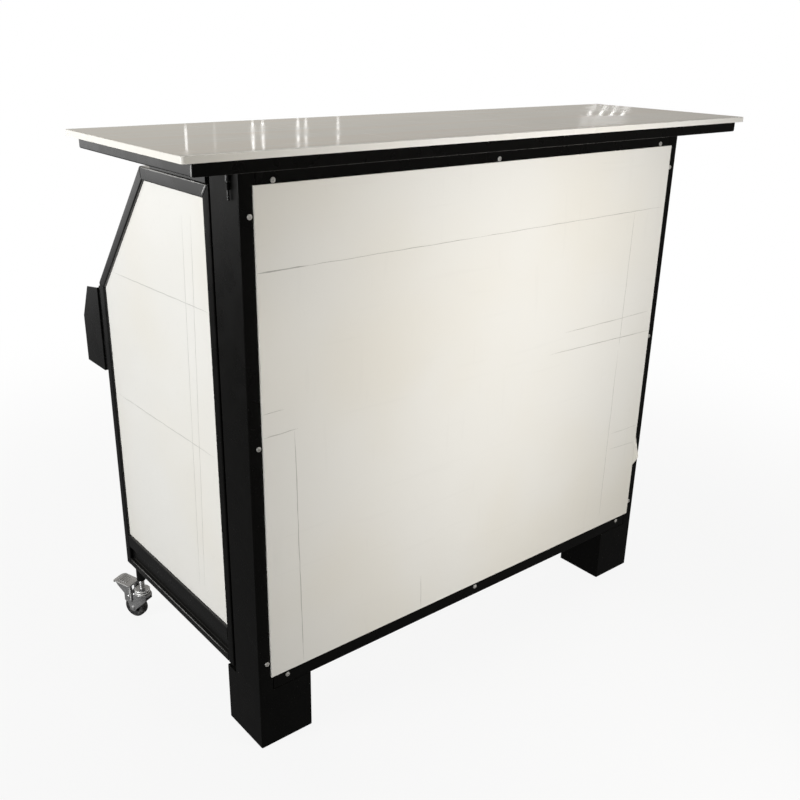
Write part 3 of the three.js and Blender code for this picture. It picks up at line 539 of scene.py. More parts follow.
@dataclass(frozen=True)
class SlabFilm(ScratchedFinish):
    """Glossy film over the counter top: drawn along the slab, with hair scratches and a warm tint."""

    warm_colour: Colour = (0.49, 0.44, 0.375)
    warm_span: Span = (0.36, 0.66)
    drawn_scale: float = 110.0
    drawn_stretch: float = 0.05
    drawn_depth: float = 0.12 * MM
    drawn_strength: float = 0.25
    ripple_scale: float = 14.0
    ripple_depth: float = 0.06 * MM
    ripple_strength: float = 0.3
    scratch_colour: Colour = (0.78, 0.77, 0.75)
    scratch_scale: float = 90.0
    scratches: float = 0.15
    smudge_scale: float = 5.0
    smudge_gloss: Span = (-0.05, 0.05)

    def build(self, effects: Effects) -> bpy.types.Material:
        """Builds the material.

        Args:
            effects: the shared effects.

        Returns:
            The material.
        """
        material, graph, shader = self.start()
        drawn = effects.place(graph, Effect.DRAWN, scale=self.drawn_scale, stretch=self.drawn_stretch).outputs
        tint = graph.span(drawn["Tone"], *self.warm_span)
        self.scratch(effects, graph, shader, graph.mix(tint, self.colour, self.warm_colour))
        self.smudge(effects, graph, shader)
        lines = graph.bump(drawn["Height"], self.drawn_strength, self.drawn_depth)
        ripple = graph.noise(graph.place(), self.ripple_scale)
        waves = graph.bump(ripple, self.ripple_strength, self.ripple_depth, lines)
        graph.feed(shader.inputs["Normal"], waves)
        return material


@dataclass(frozen=True)
class PlatedSteel(ScratchedFinish):
    """Zinc-plated steel: patchy tone, hand marks and fine scratches."""

    dull_colour: Colour = (0.22, 0.22, 0.225)
    dull_span: Span = (0.35, 0.65)
    dull_share: float = 0.75
    grain_scale: float = 420.0
    grain_depth: float = 0.1 * MM
    grain_strength: float = 0.15
    metal: float = 0.78
    scratch_colour: Colour = (0.62, 0.62, 0.62)
    scratch_scale: float = 600.0
    scratches: float = 0.5
    smudge_scale: float = 90.0
    smudge_gloss: Span = (-0.06, 0.14)

    def build(self, effects: Effects) -> bpy.types.Material:
        """Builds the material.

        Args:
            effects: the shared effects.

        Returns:
            The material.
        """
        material, graph, shader = self.start()
        shader.inputs["Metallic"].default_value = self.metal
        grain = effects.place(graph, Effect.GRAIN, scale=self.grain_scale).outputs
        patch = graph.span(grain["Tone"], *self.dull_span, 0.0, self.dull_share)
        self.scratch(effects, graph, shader, graph.mix(patch, self.colour, self.dull_colour))
        self.smudge(effects, graph, shader)
        peel = graph.bump(grain["Height"], self.grain_strength, self.grain_depth)
        graph.feed(shader.inputs["Normal"], peel)
        return material


@dataclass(frozen=True)
class WheelRubber(HandledFinish):
    """Dark grey rubber, scuffed pale where it rolls."""

    scuff_colour: Colour = (0.10, 0.098, 0.094)
    scuff_scale: float = 130.0
    scuff_span: Span = (0.45, 0.7)
    grain_scale: float = 1600.0
    grain_depth: float = 0.15 * MM
    grain_strength: float = 0.3
    smudge_scale: float = 60.0
    smudge_gloss: Span = (-0.08, 0.1)

    def build(self, effects: Effects) -> bpy.types.Material:
        """Builds the material.

        Args:
            effects: the shared effects.

        Returns:
            The material.
        """
        material, graph, shader = self.start()
        grain = effects.place(graph, Effect.GRAIN, scale=self.grain_scale).outputs
        scuff = graph.span(graph.noise(graph.place(), self.scuff_scale, detail=5.0), *self.scuff_span)
        graph.feed(shader.inputs["Base Color"], graph.mix(scuff, self.colour, self.scuff_colour))
        self.smudge(effects, graph, shader)
        peel = graph.bump(grain["Height"], self.grain_strength, self.grain_depth)
        graph.feed(shader.inputs["Normal"], peel)
        return material


@dataclass(frozen=True)
class MattSheet(ScratchedFinish):
    """Plain matt sheet with fine grain, hand marks and hair scratches of one colour."""

    mark_span: Span = (0.3, 0.75)
    mark_share: float = 0.3
    grain_scale: float = 700.0
    grain_depth: float = 0.1 * MM
    grain_strength: float = 0.2
    scratch_colour: Colour = (0.52, 0.51, 0.49)
    scratch_scale: float = 120.0
    scratches: float = 0.2
    smudge_scale: float = 11.0
    smudge_gloss: Span = (-0.08, 0.08)

    def build(self, effects: Effects) -> bpy.types.Material:
        """Builds the material.

        Args:
            effects: the shared effects.

        Returns:
            The material.
        """
        material, graph, shader = self.start()
        grain = effects.place(graph, Effect.GRAIN, scale=self.grain_scale).outputs
        marks = graph.span(grain["Tone"], *self.mark_span, 0.0, self.mark_share)
        self.scratch(effects, graph, shader, graph.mix(marks, self.colour, self.scratch_colour))
        self.smudge(effects, graph, shader)
        peel = graph.bump(grain["Height"], self.grain_strength, self.grain_depth)
        graph.feed(shader.inputs["Normal"], peel)
        return material


@dataclass
class Finishes:
    """All the materials of the bar, built once."""

    effects: Effects = field(default_factory=Effects)
    shelf: Dict[str, bpy.types.Material] = field(init=False)
    made: Tuple[Finish, ...] = (
        PowderCoat("black_paint", (0.003, 0.003, 0.0029), 0.24, 0.7, coat=0.3, dust=0.03),
        # A darker, barely reflecting copy of the black coat for the parts that face the front: painted shade.
        PowderCoat("front_paint", (0.0028, 0.0027, 0.0025), 0.3, 0.15, wear=0.08, dust=0.03),
        PowderCoat("satin_paint", (0.003, 0.003, 0.0029), 0.27, 0.34, wear=0.3, coat=0.1, dust=0.03),
        # Pale grey: the ground end of a mitre, and the painted highlights along the wing's top rail and the
        # counter's front corners.
        PowderCoat("rubbed_bright", (0.36, 0.355, 0.35), 0.4, 0.35, wear=0.2),
        # A grey line along the wing's lower lip: a painted highlight.
        PowderCoat("rubbed_edge", (0.22, 0.218, 0.215), 0.4, 0.4, wear=0.2),
        # Near-black, non-reflecting seam lines: painted shade in the mitre gaps.
        PowderCoat("open_seam", (0.002, 0.002, 0.002), 0.7, 0.02, wear=0.0, dust=0.0),
        FilmedAcrylic("white_sheet", (0.80, 0.79, 0.765), 0.22),
        FilmedAcrylic("slab_sheet", (0.80, 0.79, 0.77), 0.25),
        SlabFilm("slab_film", (0.475, 0.462, 0.418), 0.08, 0.1),
        MattSheet("back_sheet", (0.66, 0.655, 0.64), 0.5, 0.4),
        # Crease ridges in a grey darker than the sheet: painted shade in the creases.
        MattSheet("film_crease", (0.42, 0.41, 0.39), 0.4, 0.4, scratch_colour=(0.62, 0.61, 0.58)),
        FilmedAcrylic("film_flap", (0.74, 0.73, 0.70), 0.2, 0.6),
        PlatedSteel("zinc", (0.56, 0.56, 0.565), 0.22),
        # A paler, more diffuse copy of the zinc for the race's rims and the pedal's edge: painted highlights.
        PlatedSteel("pale_zinc", (0.80, 0.80, 0.79), 0.3, dull_colour=(0.6, 0.6, 0.6), metal=0.25),
        PlatedSteel("screw_steel", (0.60, 0.59, 0.57), 0.3, dull_colour=(0.4, 0.4, 0.39), metal=0.3),
        WheelRubber("wheel_rubber", (0.018, 0.018, 0.019), 0.5, 0.4),
        MattSheet("hub_plastic", (0.05, 0.05, 0.052), 0.42, 0.45, scratch_colour=(0.09, 0.09, 0.09)),
    )

    def __post_init__(self) -> None:
        """Builds each finish."""
        self.shelf = {finish.name: finish.build(self.effects) for finish in self.made}

    def __getitem__(self, name: str) -> bpy.types.Material:
        """Returns the material of that name."""
        return self.shelf[name]


@dataclass
class Shell:
    """A closed mesh as plain points and faces, before it becomes a piece."""

    points: List[Vector]
    faces: List[Tuple[int, ...]]

    def moved(self, matrix: Matrix) -> "Shell":
        """Returns the shell carried by a matrix."""
        return Shell([matrix @ point for point in self.points], list(self.faces))

    def joined(self, other: "Shell") -> "Shell":
        """Returns one shell that holds this one and another side by side."""
        shifted = [tuple(i + len(self.points) for i in face) for face in other.faces]
        return Shell([*self.points, *other.points], [*self.faces, *shifted])

    def mesh(self, name: str) -> bpy.types.Mesh:
        """Makes a mesh with its faces turned outwards.

        Args:
            name: the mesh's name.

        Returns:
            The mesh.
        """
        mesh = bpy.data.meshes.new(name)
        mesh.from_pydata([tuple(point) for point in self.points], [], self.faces)
        work = bmesh.new()
        work.from_mesh(mesh)
        bmesh.ops.recalc_face_normals(work, faces=work.faces)
        work.to_mesh(mesh)
        work.free()
        mesh.update()
        return mesh

    def cut(self, other: "Shell", how: Cut) -> "Shell":
        """Joins, cuts or intersects this shell with another.

        Args:
            other: the second closed shell.
            how: what to make of the two.

        Returns:
            The new shell.
        """
        named = (("shell", self), ("tool", other))
        pair = [bpy.data.objects.new(name, shell.mesh(name)) for name, shell in named]
        for item in pair:
            bpy.context.scene.collection.objects.link(item)
        modifier = pair[0].modifiers.new("cut", "BOOLEAN")
        modifier.operation = how.value
        modifier.solver = "EXACT"
        modifier.object = pair[1]
        seen = pair[0].evaluated_get(bpy.context.evaluated_depsgraph_get())
        mesh = seen.to_mesh()
        points = [vertex.co.copy() for vertex in mesh.vertices]
        faces = [tuple(polygon.vertices) for polygon in mesh.polygons]
        seen.to_mesh_clear()
        for item in pair:
            bpy.data.meshes.remove(item.data)
        return Shell(points, faces)


def arc(centre: Point2, radius: float, start: float, end: float, steps: int) -> List[Point2]:
    """Places points along a round stretch of an outline.

    Args:
        centre: middle of the arc.
        radius: its radius.
        start: angle of the first point in degrees.
        end: angle of the last point in degrees.
        steps: how many chords.

    Returns:
        The points, both ends included.
    """
    turn = [math.radians(start + (end - start) * i / steps) for i in range(steps + 1)]
    return [(centre[0] + radius * math.cos(t), centre[1] + radius * math.sin(t)) for t in turn]


def prism(outline: Sequence[Point2], low: float, high: float) -> Shell:
    """Draws an outline in the XY plane out along Z.

    Args:
        outline: the corner points in order.
        low: lower end.
        high: upper end.

    Returns:
        The closed shell.
    """
    count = len(outline)
    points = [Vector((u, v, low)) for u, v in outline] + [Vector((u, v, high)) for u, v in outline]
    faces: List[Tuple[int, ...]] = [tuple(reversed(range(count))), tuple(range(count, 2 * count))]
    for i in range(count):
        j = (i + 1) % count
        faces.append((i, j, count + j, count + i))
    return Shell(points, faces)


def lathe(profile: Sequence[Point2], segments: int = 48) -> Shell:
    """Turns a profile round the Z axis.

    Args:
        profile: radius and height of each point, starting and ending on the axis, or a closed ring.
        segments: how many steps round.

    Returns:
        The closed shell.
    """
    points: List[Vector] = []
    rings: List[List[int]] = []
    for radius, height in profile:
        if radius == 0.0:
            rings.append([len(points)] * segments)
            points.append(Vector((0.0, 0.0, height)))
            continue
        rings.append(list(range(len(points), len(points) + segments)))
        for i in range(segments):
            turn = math.tau * i / segments
            points.append(Vector((radius * math.cos(turn), radius * math.sin(turn), height)))
    if profile[0][0] != 0.0:
        rings.append(rings[0])
    faces: List[Tuple[int, ...]] = []
    for low, high in zip(rings, rings[1:]):
        for i in range(segments):
            j = (i + 1) % segments
            corners = (low[i], low[j], high[j], high[i])
            face = tuple(dict.fromkeys(corners))
            if len(face) > 2:
                faces.append(face)
    return Shell(points, faces)


def mirrored(half: Sequence[Point2]) -> List[Point2]:
    """Returns a profile made of its upper half's image below the middle and that half."""
    return [*((radius, -height) for radius, height in half), *reversed(half)]


def sheet(points: Sequence[Vector], columns: int, thick: Vector) -> Shell:
    """Closes a grid of points into a thin sheet.

    Args:
        points: the face's points, row by row.
        columns: how many cells a row has.
        thick: from the face to the other side.

    Returns:
        The closed shell.
    """
    wide = columns + 1
    count = len(points)
    faces: List[Tuple[int, ...]] = []
    for row in range(0, count - wide, wide):
        for base in range(row, row + columns):
            cell = (base, base + 1, base + wide + 1, base + wide)
            faces.append(cell)
            faces.append(tuple(k + count for k in reversed(cell)))
    rim = [*range(columns), *range(columns, count - 1, wide)]
    rim += [*range(count - 1, count - wide, -1), *range(count - wide, 0, -wide)]
    for here, there in zip(rim, [*rim[1:], rim[0]]):
        faces.append((there, here, here + count, there + count))
    return Shell([*points, *(point + thick for point in points)], faces)


@dataclass
class Workshop:
    """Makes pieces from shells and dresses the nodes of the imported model."""

    finishes: Finishes
    weld_reach: float = 0.01 * MM

    def piece(
        self,
        name: str,
        shell: Shell,
        finish: str,
        body: str,
        slot: str,
        replaced: Sequence[str] = (),
        bevel: float = 0.0,
    ) -> None:
        """Adds one piece of the bar.

        Args:
            name: the piece's name.
            shell: its closed mesh.
            finish: name of its finish.
            body: the moving body that carries it.
            slot: the record's material slot; not used.
            replaced: nodes that it stands for.
            bevel: width of the rounding on its sharp edges, if any.
        """
        item = bpy.data.objects.new(name, shell.mesh(name))
        bpy.context.scene.collection.objects.link(item)
        item.data.materials.append(self.finishes[finish])
        self.smooth(item)
        if bevel > 0.0:
            self.round_edges(item, bevel, EDGE_STEPS)
        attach(item, body)
        if replaced:
            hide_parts(*replaced)
        LOG.info("piece %s on %s", name, body)

    def smooth(self, item: bpy.types.Object) -> None:
        """Shades a piece smooth, apart from its creases."""
        item.data.polygons.foreach_set("use_smooth", [True] * len(item.data.polygons))
        item.data.set_sharp_from_angle(angle=CREASE_ANGLE)

    def round_edges(self, item: bpy.types.Object, width: float, segments: int) -> None:
        """Adds the modifiers that round sharp edges.

        Args:
            item: the object.
            width: width of the rounding.
            segments: steps across it.
        """
        bevel = item.modifiers.new("rounded", "BEVEL")
        bevel.width = width
        bevel.segments = segments
        bevel.limit_method = "ANGLE"
        bevel.angle_limit = CREASE_ANGLE
        bevel.use_clamp_overlap = True
        bevel.harden_normals = False
        normals = item.modifiers.new("even_normals", "WEIGHTED_NORMAL")
        normals.keep_sharp = False

    def dress(self, node: str, finish: str, width: float, segments: int = EDGE_STEPS) -> None:
        """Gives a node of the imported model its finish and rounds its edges.

        Args:
            node: the node's name.
            finish: name of its finish.
            width: width of the rounding.
            segments: steps across the rounding.
        """
        item = frame["nodes"][node]
        item.data.materials.clear()
        item.data.materials.append(self.finishes[finish])
        weld = item.modifiers.new("weld", "WELD")
        weld.merge_threshold = self.weld_reach
        self.round_edges(item, width, segments)
        LOG.info("node %s in %s", node, finish)


@dataclass(frozen=True)
class FineLine:
    """One fine line: where it runs on a face and how wide it is."""

    start: Point2
    end: Point2
    width: float

    @classmethod
    def in_mm(cls, start: Point2, end: Point2, width: float) -> "FineLine":
        """Returns a line that is given in millimetres."""
        return cls((start[0] * MM, start[1] * MM), (end[0] * MM, end[1] * MM), width * MM)


@dataclass(frozen=True)
class FineLines:
    """Fine raised lines on a face: creases and laps of a film, and painted edge highlights and seams of a
    frame.

    The taper sets how fast a line widens from the share of its width that its ends have.
    """

    height: float = 0.22 * MM
    sunk: float = 0.05 * MM
    step: float = 18.0 * MM
    fewest_steps: int = 4
    wander: float = 0.5 * MM
    end_share: float = 0.25
    taper: float = 6.0
    width_drift: Span = (0.65, 1.15)
    crown_share: float = 0.4
    seed: int = 11

    def shell(self, lines: Sequence[FineLine], origin: Vector, across: Vector, out: Vector) -> Shell:
        """Makes the raised lines of one face.

        Args:
            lines: the lines, each in places across and up the face.
            origin: the point on the face that these are counted from.
            across: direction of the first coordinate.
            out: the face's outward normal.

        Returns:
            One shell with a closed ridge for each line.
        """
        draw = random.Random(self.seed)
        whole = Shell([], [])
        for line in lines:
            start, end = (origin + across * u + UP * v for u, v in (line.start, line.end))
            whole = whole.joined(self._ridge(start, end, line.width, out, draw))
        return whole

    def _ridge(self, start: Vector, end: Vector, width: float, out: Vector, draw: random.Random) -> Shell:
        """Makes one ridge, tapered at its ends and slightly unsteady.

        Args:
            start: where it starts.
            end: where it ends.
            width: its full width.
            out: the face's outward normal.
            draw: the source of its unsteadiness.

        Returns:
            The closed shell.
        """
        beside = out.cross((end - start).normalized())
        count = max(self.fewest_steps, int((end - start).length / self.step))
        points: List[Vector] = []
        for i in range(count + 1):
            share = i / count
            taper = min(1.0, self.end_share + self.taper * min(share, 1.0 - share))
            half = 0.5 * width * taper * draw.uniform(*self.width_drift)
            centre = start.lerp(end, share) + beside * draw.uniform(-self.wander, self.wander)
            foot = beside * half
            crown = foot * self.crown_share
            low = out * self.sunk
            high = out * self.height * taper
            points += [centre - foot - low, centre - crown + high, centre + crown + high, centre + foot - low]
        ring = len(points) // (count + 1)
        faces: List[Tuple[int, ...]] = [tuple(range(ring))]
        for base in range(0, ring * count, ring):
            for k in range(ring):
                n = (k + 1) % ring
                faces.append((base + k, base + n, base + ring + n, base + ring + k))
        faces.append(tuple(reversed(range(ring * count, len(points)))))
        return Shell(points, faces)


@dataclass
class FrontUnit:
    """The fixed front: two posts, two rails, the white panel, the feet, the screws and the back sheet."""

    shop: Workshop
    body: str = "front_frame"
    tube_round: float = 1.2 * MM
    sheet_round: float = 0.5 * MM
    head_radius: float = 4.5 * MM
    head_height: float = 2.6 * MM
    head_foot: Point2 = (0.97, 0.06)
    head_shoulder: float = 0.38
    head_segments: int = 40
    dome_step: float = 9.0
    dome_points: int = 10
    turn_rates: Point3 = (0.7, 37.0, 11.0)
    recess_length: float = 5.0 * MM
    recess_width: float = 1.1 * MM
    recess_depth: float = 1.5 * MM
    recess_spare: float = 1.3 * MM
    flap_foot: Span = (286.0 * MM, 364.0 * MM)
    flap_root: float = -3.0 * MM
    flap_tip: Point2 = (14.0 * MM, 303.0 * MM)
    flap_lift: float = 4.0 * MM
    flap_gap: float = 0.3 * MM
    flap_thick: float = 0.15 * MM
    flap_wave: float = 0.6 * MM
    flap_turns: Point2 = (7.0, 5.0)
    flap_rows: int = 8
    flap_columns: int = 6
    film: FineLines = FineLines()
    creases: Tuple[FineLine, ...] = (
        FineLine.in_mm((-515.5, 908.0), (-420.0, 908.4), 2.4),
        FineLine.in_mm((-430.0, 908.4), (-40.0, 910.0), 1.1),
        FineLine.in_mm((-60.0, 910.0), (509.0, 912.0), 1.2),
        FineLine.in_mm((220.0, 677.0), (502.0, 677.0), 1.3),
        FineLine.in_mm((178.0, 637.0), (514.0, 629.0), 1.7),
        FineLine.in_mm((-514.0, 673.0), (-474.0, 674.0), 1.4),
        FineLine.in_mm((-514.0, 631.0), (-447.0, 633.0), 1.6),
        FineLine.in_mm((413.0, 908.0), (410.0, 610.0), 1.3),
        FineLine.in_mm((409.0, 600.0), (406.0, 182.0), 1.0),
        FineLine.in_mm((-454.0, 629.0), (-446.0, 156.0), 1.6),
        FineLine.in_mm((-160.0, 233.0), (-157.0, 155.0), 1.4),
        FineLine.in_mm((418.0, 395.0), (510.0, 393.0), 1.0),
        FineLine.in_mm((419.0, 355.0), (512.0, 350.0), 1.0),
    )

    def build(self) -> None:
        """Dresses the nodes and adds the film and the screws."""
        # The front's rails, posts, feet and hinges take the darker front copy of the black coat: painted
        # shade.
        for node in ("front_top_rail", "front_bottom_rail"):
            self.shop.dress(node, "front_paint", self.tube_round)
        for side in Side:
            for name in ("post", "foot"):
                self.shop.dress(side.named(name), "front_paint", self.tube_round)
            for name in ("hinge_post_lower", "hinge_post_upper"):
                self.shop.dress(side.named(name), "front_paint", self.sheet_round, SHEET_STEPS)
        self.shop.dress("front_panel", "white_sheet", self.sheet_round)
        self.shop.dress("back_panel", "back_sheet", self.sheet_round, SHEET_STEPS)
        self.add_film()
        self.add_screws()

    def add_film(self) -> None:
        """Adds the creases of the film and the loose flap on the right edge."""
        low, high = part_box("front_panel")
        # The creases are coloured darker than the sheet: painted shade.
        shell = self.film.shell(self.creases, Vector((0.0, low.y, 0.0)), ACROSS, FRONT)
        self.shop.piece("front_film_creases", shell, "film_crease", self.body, "white_sheet")
        shell = self.flap(Vector((high.x, low.y, 0.0)))
        self.shop.piece("front_film_flap", shell, "film_flap", self.body, "white_sheet")

    def flap(self, corner: Vector) -> Shell:
        """Makes the loose corner of film that stands off the panel's edge.

        Args:
            corner: a point on the panel's edge at floor height.

        Returns:
            The closed sheet.
        """
        bottom, top = self.flap_foot
        furthest, tip_level = self.flap_tip
        tip = (tip_level - bottom) / (top - bottom)
        root = self.flap_root
        points: List[Vector] = []
        for i in range(self.flap_rows + 1):
            share = i / self.flap_rows
            level = bottom + (top - bottom) * share
            reach = share / tip if share < tip else (1.0 - share) / (1.0 - tip)
            for j in range(self.flap_columns + 1):
                out = j / self.flap_columns
                wave = self.flap_wave * math.sin(self.flap_turns[0] * share + self.flap_turns[1] * out)
                lift = self.flap_gap + self.flap_lift * reach * out * out + wave * out
                points.append(corner + Vector((root + (furthest * reach - root) * out, -lift, level)))
        return sheet(points, self.flap_columns, Vector((0.0, self.flap_thick, 0.0)))

    def add_screws(self) -> None:
        """Puts a pan-head screw on each screw node, each turned by an amount of its own."""
        head = self.screw_head()
        by_name, by_x, by_z = self.turn_rates
        names = [node for node in frame["nodes"] if node.startswith("panel_screw_")]
        for node in sorted(names):
            low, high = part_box(node)
            seat = Vector(((low.x + high.x) / 2, low.y + self.head_height, (low.z + high.z) / 2))
            turn = Matrix.Rotation(by_name * len(node) + by_x * seat.x + by_z * seat.z, 4, "Y")
            placed = head.moved(Matrix.Translation(seat) @ turn @ STOOD_UP)
            name = node.replace("panel_screw", "pan_head")
            self.shop.piece(name, placed, "screw_steel", self.body, "screw_steel", [node])

    def screw_head(self) -> Shell:
        """Makes a pan head with a cross recess, standing up from the origin.

        Returns:
            The closed shell.
        """
        radius = self.head_radius
        height = self.head_height
        shoulder = self.head_shoulder * height
        turns = [math.radians(self.dome_step * i) for i in range(self.dome_points)]
        dome = [(radius * math.cos(t), shoulder + (height - shoulder) * math.sin(t)) for t in turns]
        foot = [(0.0, 0.0), (radius * self.head_foot[0], 0.0), (radius, self.head_foot[1] * height)]
        shell = lathe([*foot, *dome, (0.0, height)], self.head_segments)
        half = self.recess_length / 2
        side = self.recess_width / 2
        outline = [(-half, -side), (half, -side), (half, side), (-half, side)]
        slot = prism(outline, height - self.recess_depth, height + self.recess_spare)
        for turn in (0.0, 90.0):
            shell = shell.cut(slot.moved(Matrix.Rotation(math.radians(turn), 4, "Z")), Cut.DIFFERENCE)
        return shell


@dataclass
class Wing:
    """One side wing: a tube frame with a knee, a white panel, hinge halves and the bracket for the rail."""

    shop: Workshop
    side: Side
    tube_round: float = 1.0 * MM
    small_round: float = 0.5 * MM
    tube_face: float = 20.0 * MM
    top_face: float = 24.0 * MM
    lip_height: float = 17.0 * MM
    mitre_rear: float = 5.2 * MM
    seam_width: float = 3.0 * MM
    seam_stops: Span = (1.5 * MM, 1.0 * MM)
    ground_width: float = 3.4 * MM
    ground_stops: Span = (4.5 * MM, 3.0 * MM)
    ground_offset: float = 4.4 * MM
    edge_inset: float = 1.1 * MM
    edge_width: float = 1.8 * MM
    edge_stop: float = 6.0 * MM
    lip_width: float = 2.6 * MM
    lip_stop: float = 4.0 * MM
    paint: FineLines = FineLines(height=0.2 * MM, step=7.0 * MM, wander=0.15 * MM, seed=31)
    film: FineLines = FineLines(seed=23)
    creases: Tuple[FineLine, ...] = (
        FineLine.in_mm((12.0, 819.0), (391.0, 810.0), 1.5),
        FineLine.in_mm((16.0, 552.0), (421.0, 546.0), 1.5),
        FineLine.in_mm((84.0, 968.0), (110.0, 231.0), 0.8),
        FineLine.in_mm((52.0, 973.0), (89.0, 242.0), 0.9),
    )

    @property
    def body(self) -> str:
        """Name of the wing's moving body."""
        return self.side.named("wing")

    def build(self) -> None:
        """Dresses the nodes and adds the film creases, the mitres' seams and the pale edge lines that are
        painted highlights.
        """
        # The front stile takes the darker front copy of the black coat: painted shade.
        self.shop.dress(self.side.named("wing_front_stile"), "front_paint", self.tube_round)
        for name in ("wing_rear_stile", "wing_bottom_rail"):
            self.shop.dress(self.side.named(name), "satin_paint", self.tube_round)
        for name in ("wing_top_rail", "wing_diagonal"):
            self.shop.dress(self.side.named(name), "black_paint", self.tube_round)
        for name in ("hinge_wing_lower", "hinge_wing_upper", "rail_bracket"):
            self.shop.dress(self.side.named(name), "black_paint", self.small_round, SHEET_STEPS)
        self.shop.dress(self.side.named("wing_panel"), "white_sheet", self.small_round)
        self.add_creases()
        self.add_seams()
        self.add_painted_highlight_edges()

    def add_creases(self) -> None:
        """Adds the creases of the film on the wing's outer face."""
        low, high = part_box(self.side.named("wing_panel"))
        origin = Vector((self.side.outer(low, high), low.y, 0.0))
        # The creases are coloured darker than the sheet: painted shade.
        shell = self.film.shell(self.creases, origin, BACK, self.side.out)
        self.shop.piece(self.side.named("wing_film_creases"), shell, "film_crease", self.body, "white_sheet")

    def lay_on_frame(self, name: str, lines: Sequence[FineLine], finish: str) -> None:
        """Lays fine lines on the frame's outer face.

        Args:
            name: the piece's name without its side.
            lines: the lines, in places along the wing and above the floor.
            finish: name of their finish.
        """
        face = self.side.outer(*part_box(self.side.named("wing_top_rail")))
        shell = self.paint.shell(lines, Vector((face, 0.0, 0.0)), BACK, self.side.out)
        self.shop.piece(self.side.named(name), shell, finish, self.body, "black_paint")

    def add_seams(self) -> None:
        """Marks the top rail's two mitres with near-black lines that are painted shade in the seams, with its
        ground end beside the front one.
        """
        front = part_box(self.side.named("wing_front_stile"))[0].y
        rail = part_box(self.side.named("wing_top_rail"))[1]
        level = rail.z - self.top_face
        rear_mitre = (Vector((rail.y, rail.z)), Vector((rail.y - self.mitre_rear, level)))
        front_mitre = (Vector((front, rail.z)), Vector((front + self.tube_face, level)))
        seams = [self.between(mitre, self.seam_stops, self.seam_width) for mitre in (rear_mitre, front_mitre)]
        # The seam lines are painted shade in the mitre gaps.
        self.lay_on_frame("wing_mitre_seam", seams, "open_seam")
        along = (front_mitre[1] - front_mitre[0]).normalized()
        beside = Vector((-along.y, along.x)) * self.ground_offset
        ends = (front_mitre[0] + beside, front_mitre[1] + beside)
        ground = self.between(ends, self.ground_stops, self.ground_width)
        self.lay_on_frame("wing_mitre_ground", [ground], "rubbed_bright")

    def between(self, ends: Tuple[Vector, Vector], stops: Span, width: float) -> FineLine:
        """Makes a line that stops short of its two ends.

        Args:
            ends: the two ends.
            stops: how far it stops before each.
            width: the line's width.

        Returns:
            The line.
        """
        along = (ends[1] - ends[0]).normalized()
        return FineLine(tuple(ends[0] + along * stops[0]), tuple(ends[1] - along * stops[1]), width)

    def add_painted_highlight_edges(self) -> None:
        """Marks the upper edges of the top rail and of the lower lip with pale lines that are painted
        highlights.
        """
        inset = self.edge_inset + 0.5 * self.edge_width
        low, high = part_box(self.side.named("wing_top_rail"))
        level = high.z - inset
        start = low.y + self.tube_face * 0.5
        rail = FineLine((start, level), (high.y - self.edge_stop, level), self.edge_width)
        # A pale line along the top rail's upper edge: a painted highlight.
        self.lay_on_frame("wing_rail_edge", [rail], "rubbed_bright")
        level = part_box(self.side.named("wing_front_stile"))[0].z + self.lip_height - inset
        low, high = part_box(self.side.named("wing_bottom_rail"))
        lip = FineLine((low.y + self.lip_stop, level), (high.y - self.lip_stop, level), self.lip_width)
        # A grey line along the lip's upper edge: a painted highlight.
        self.lay_on_frame("wing_lip_edge", [lip], "rubbed_edge")


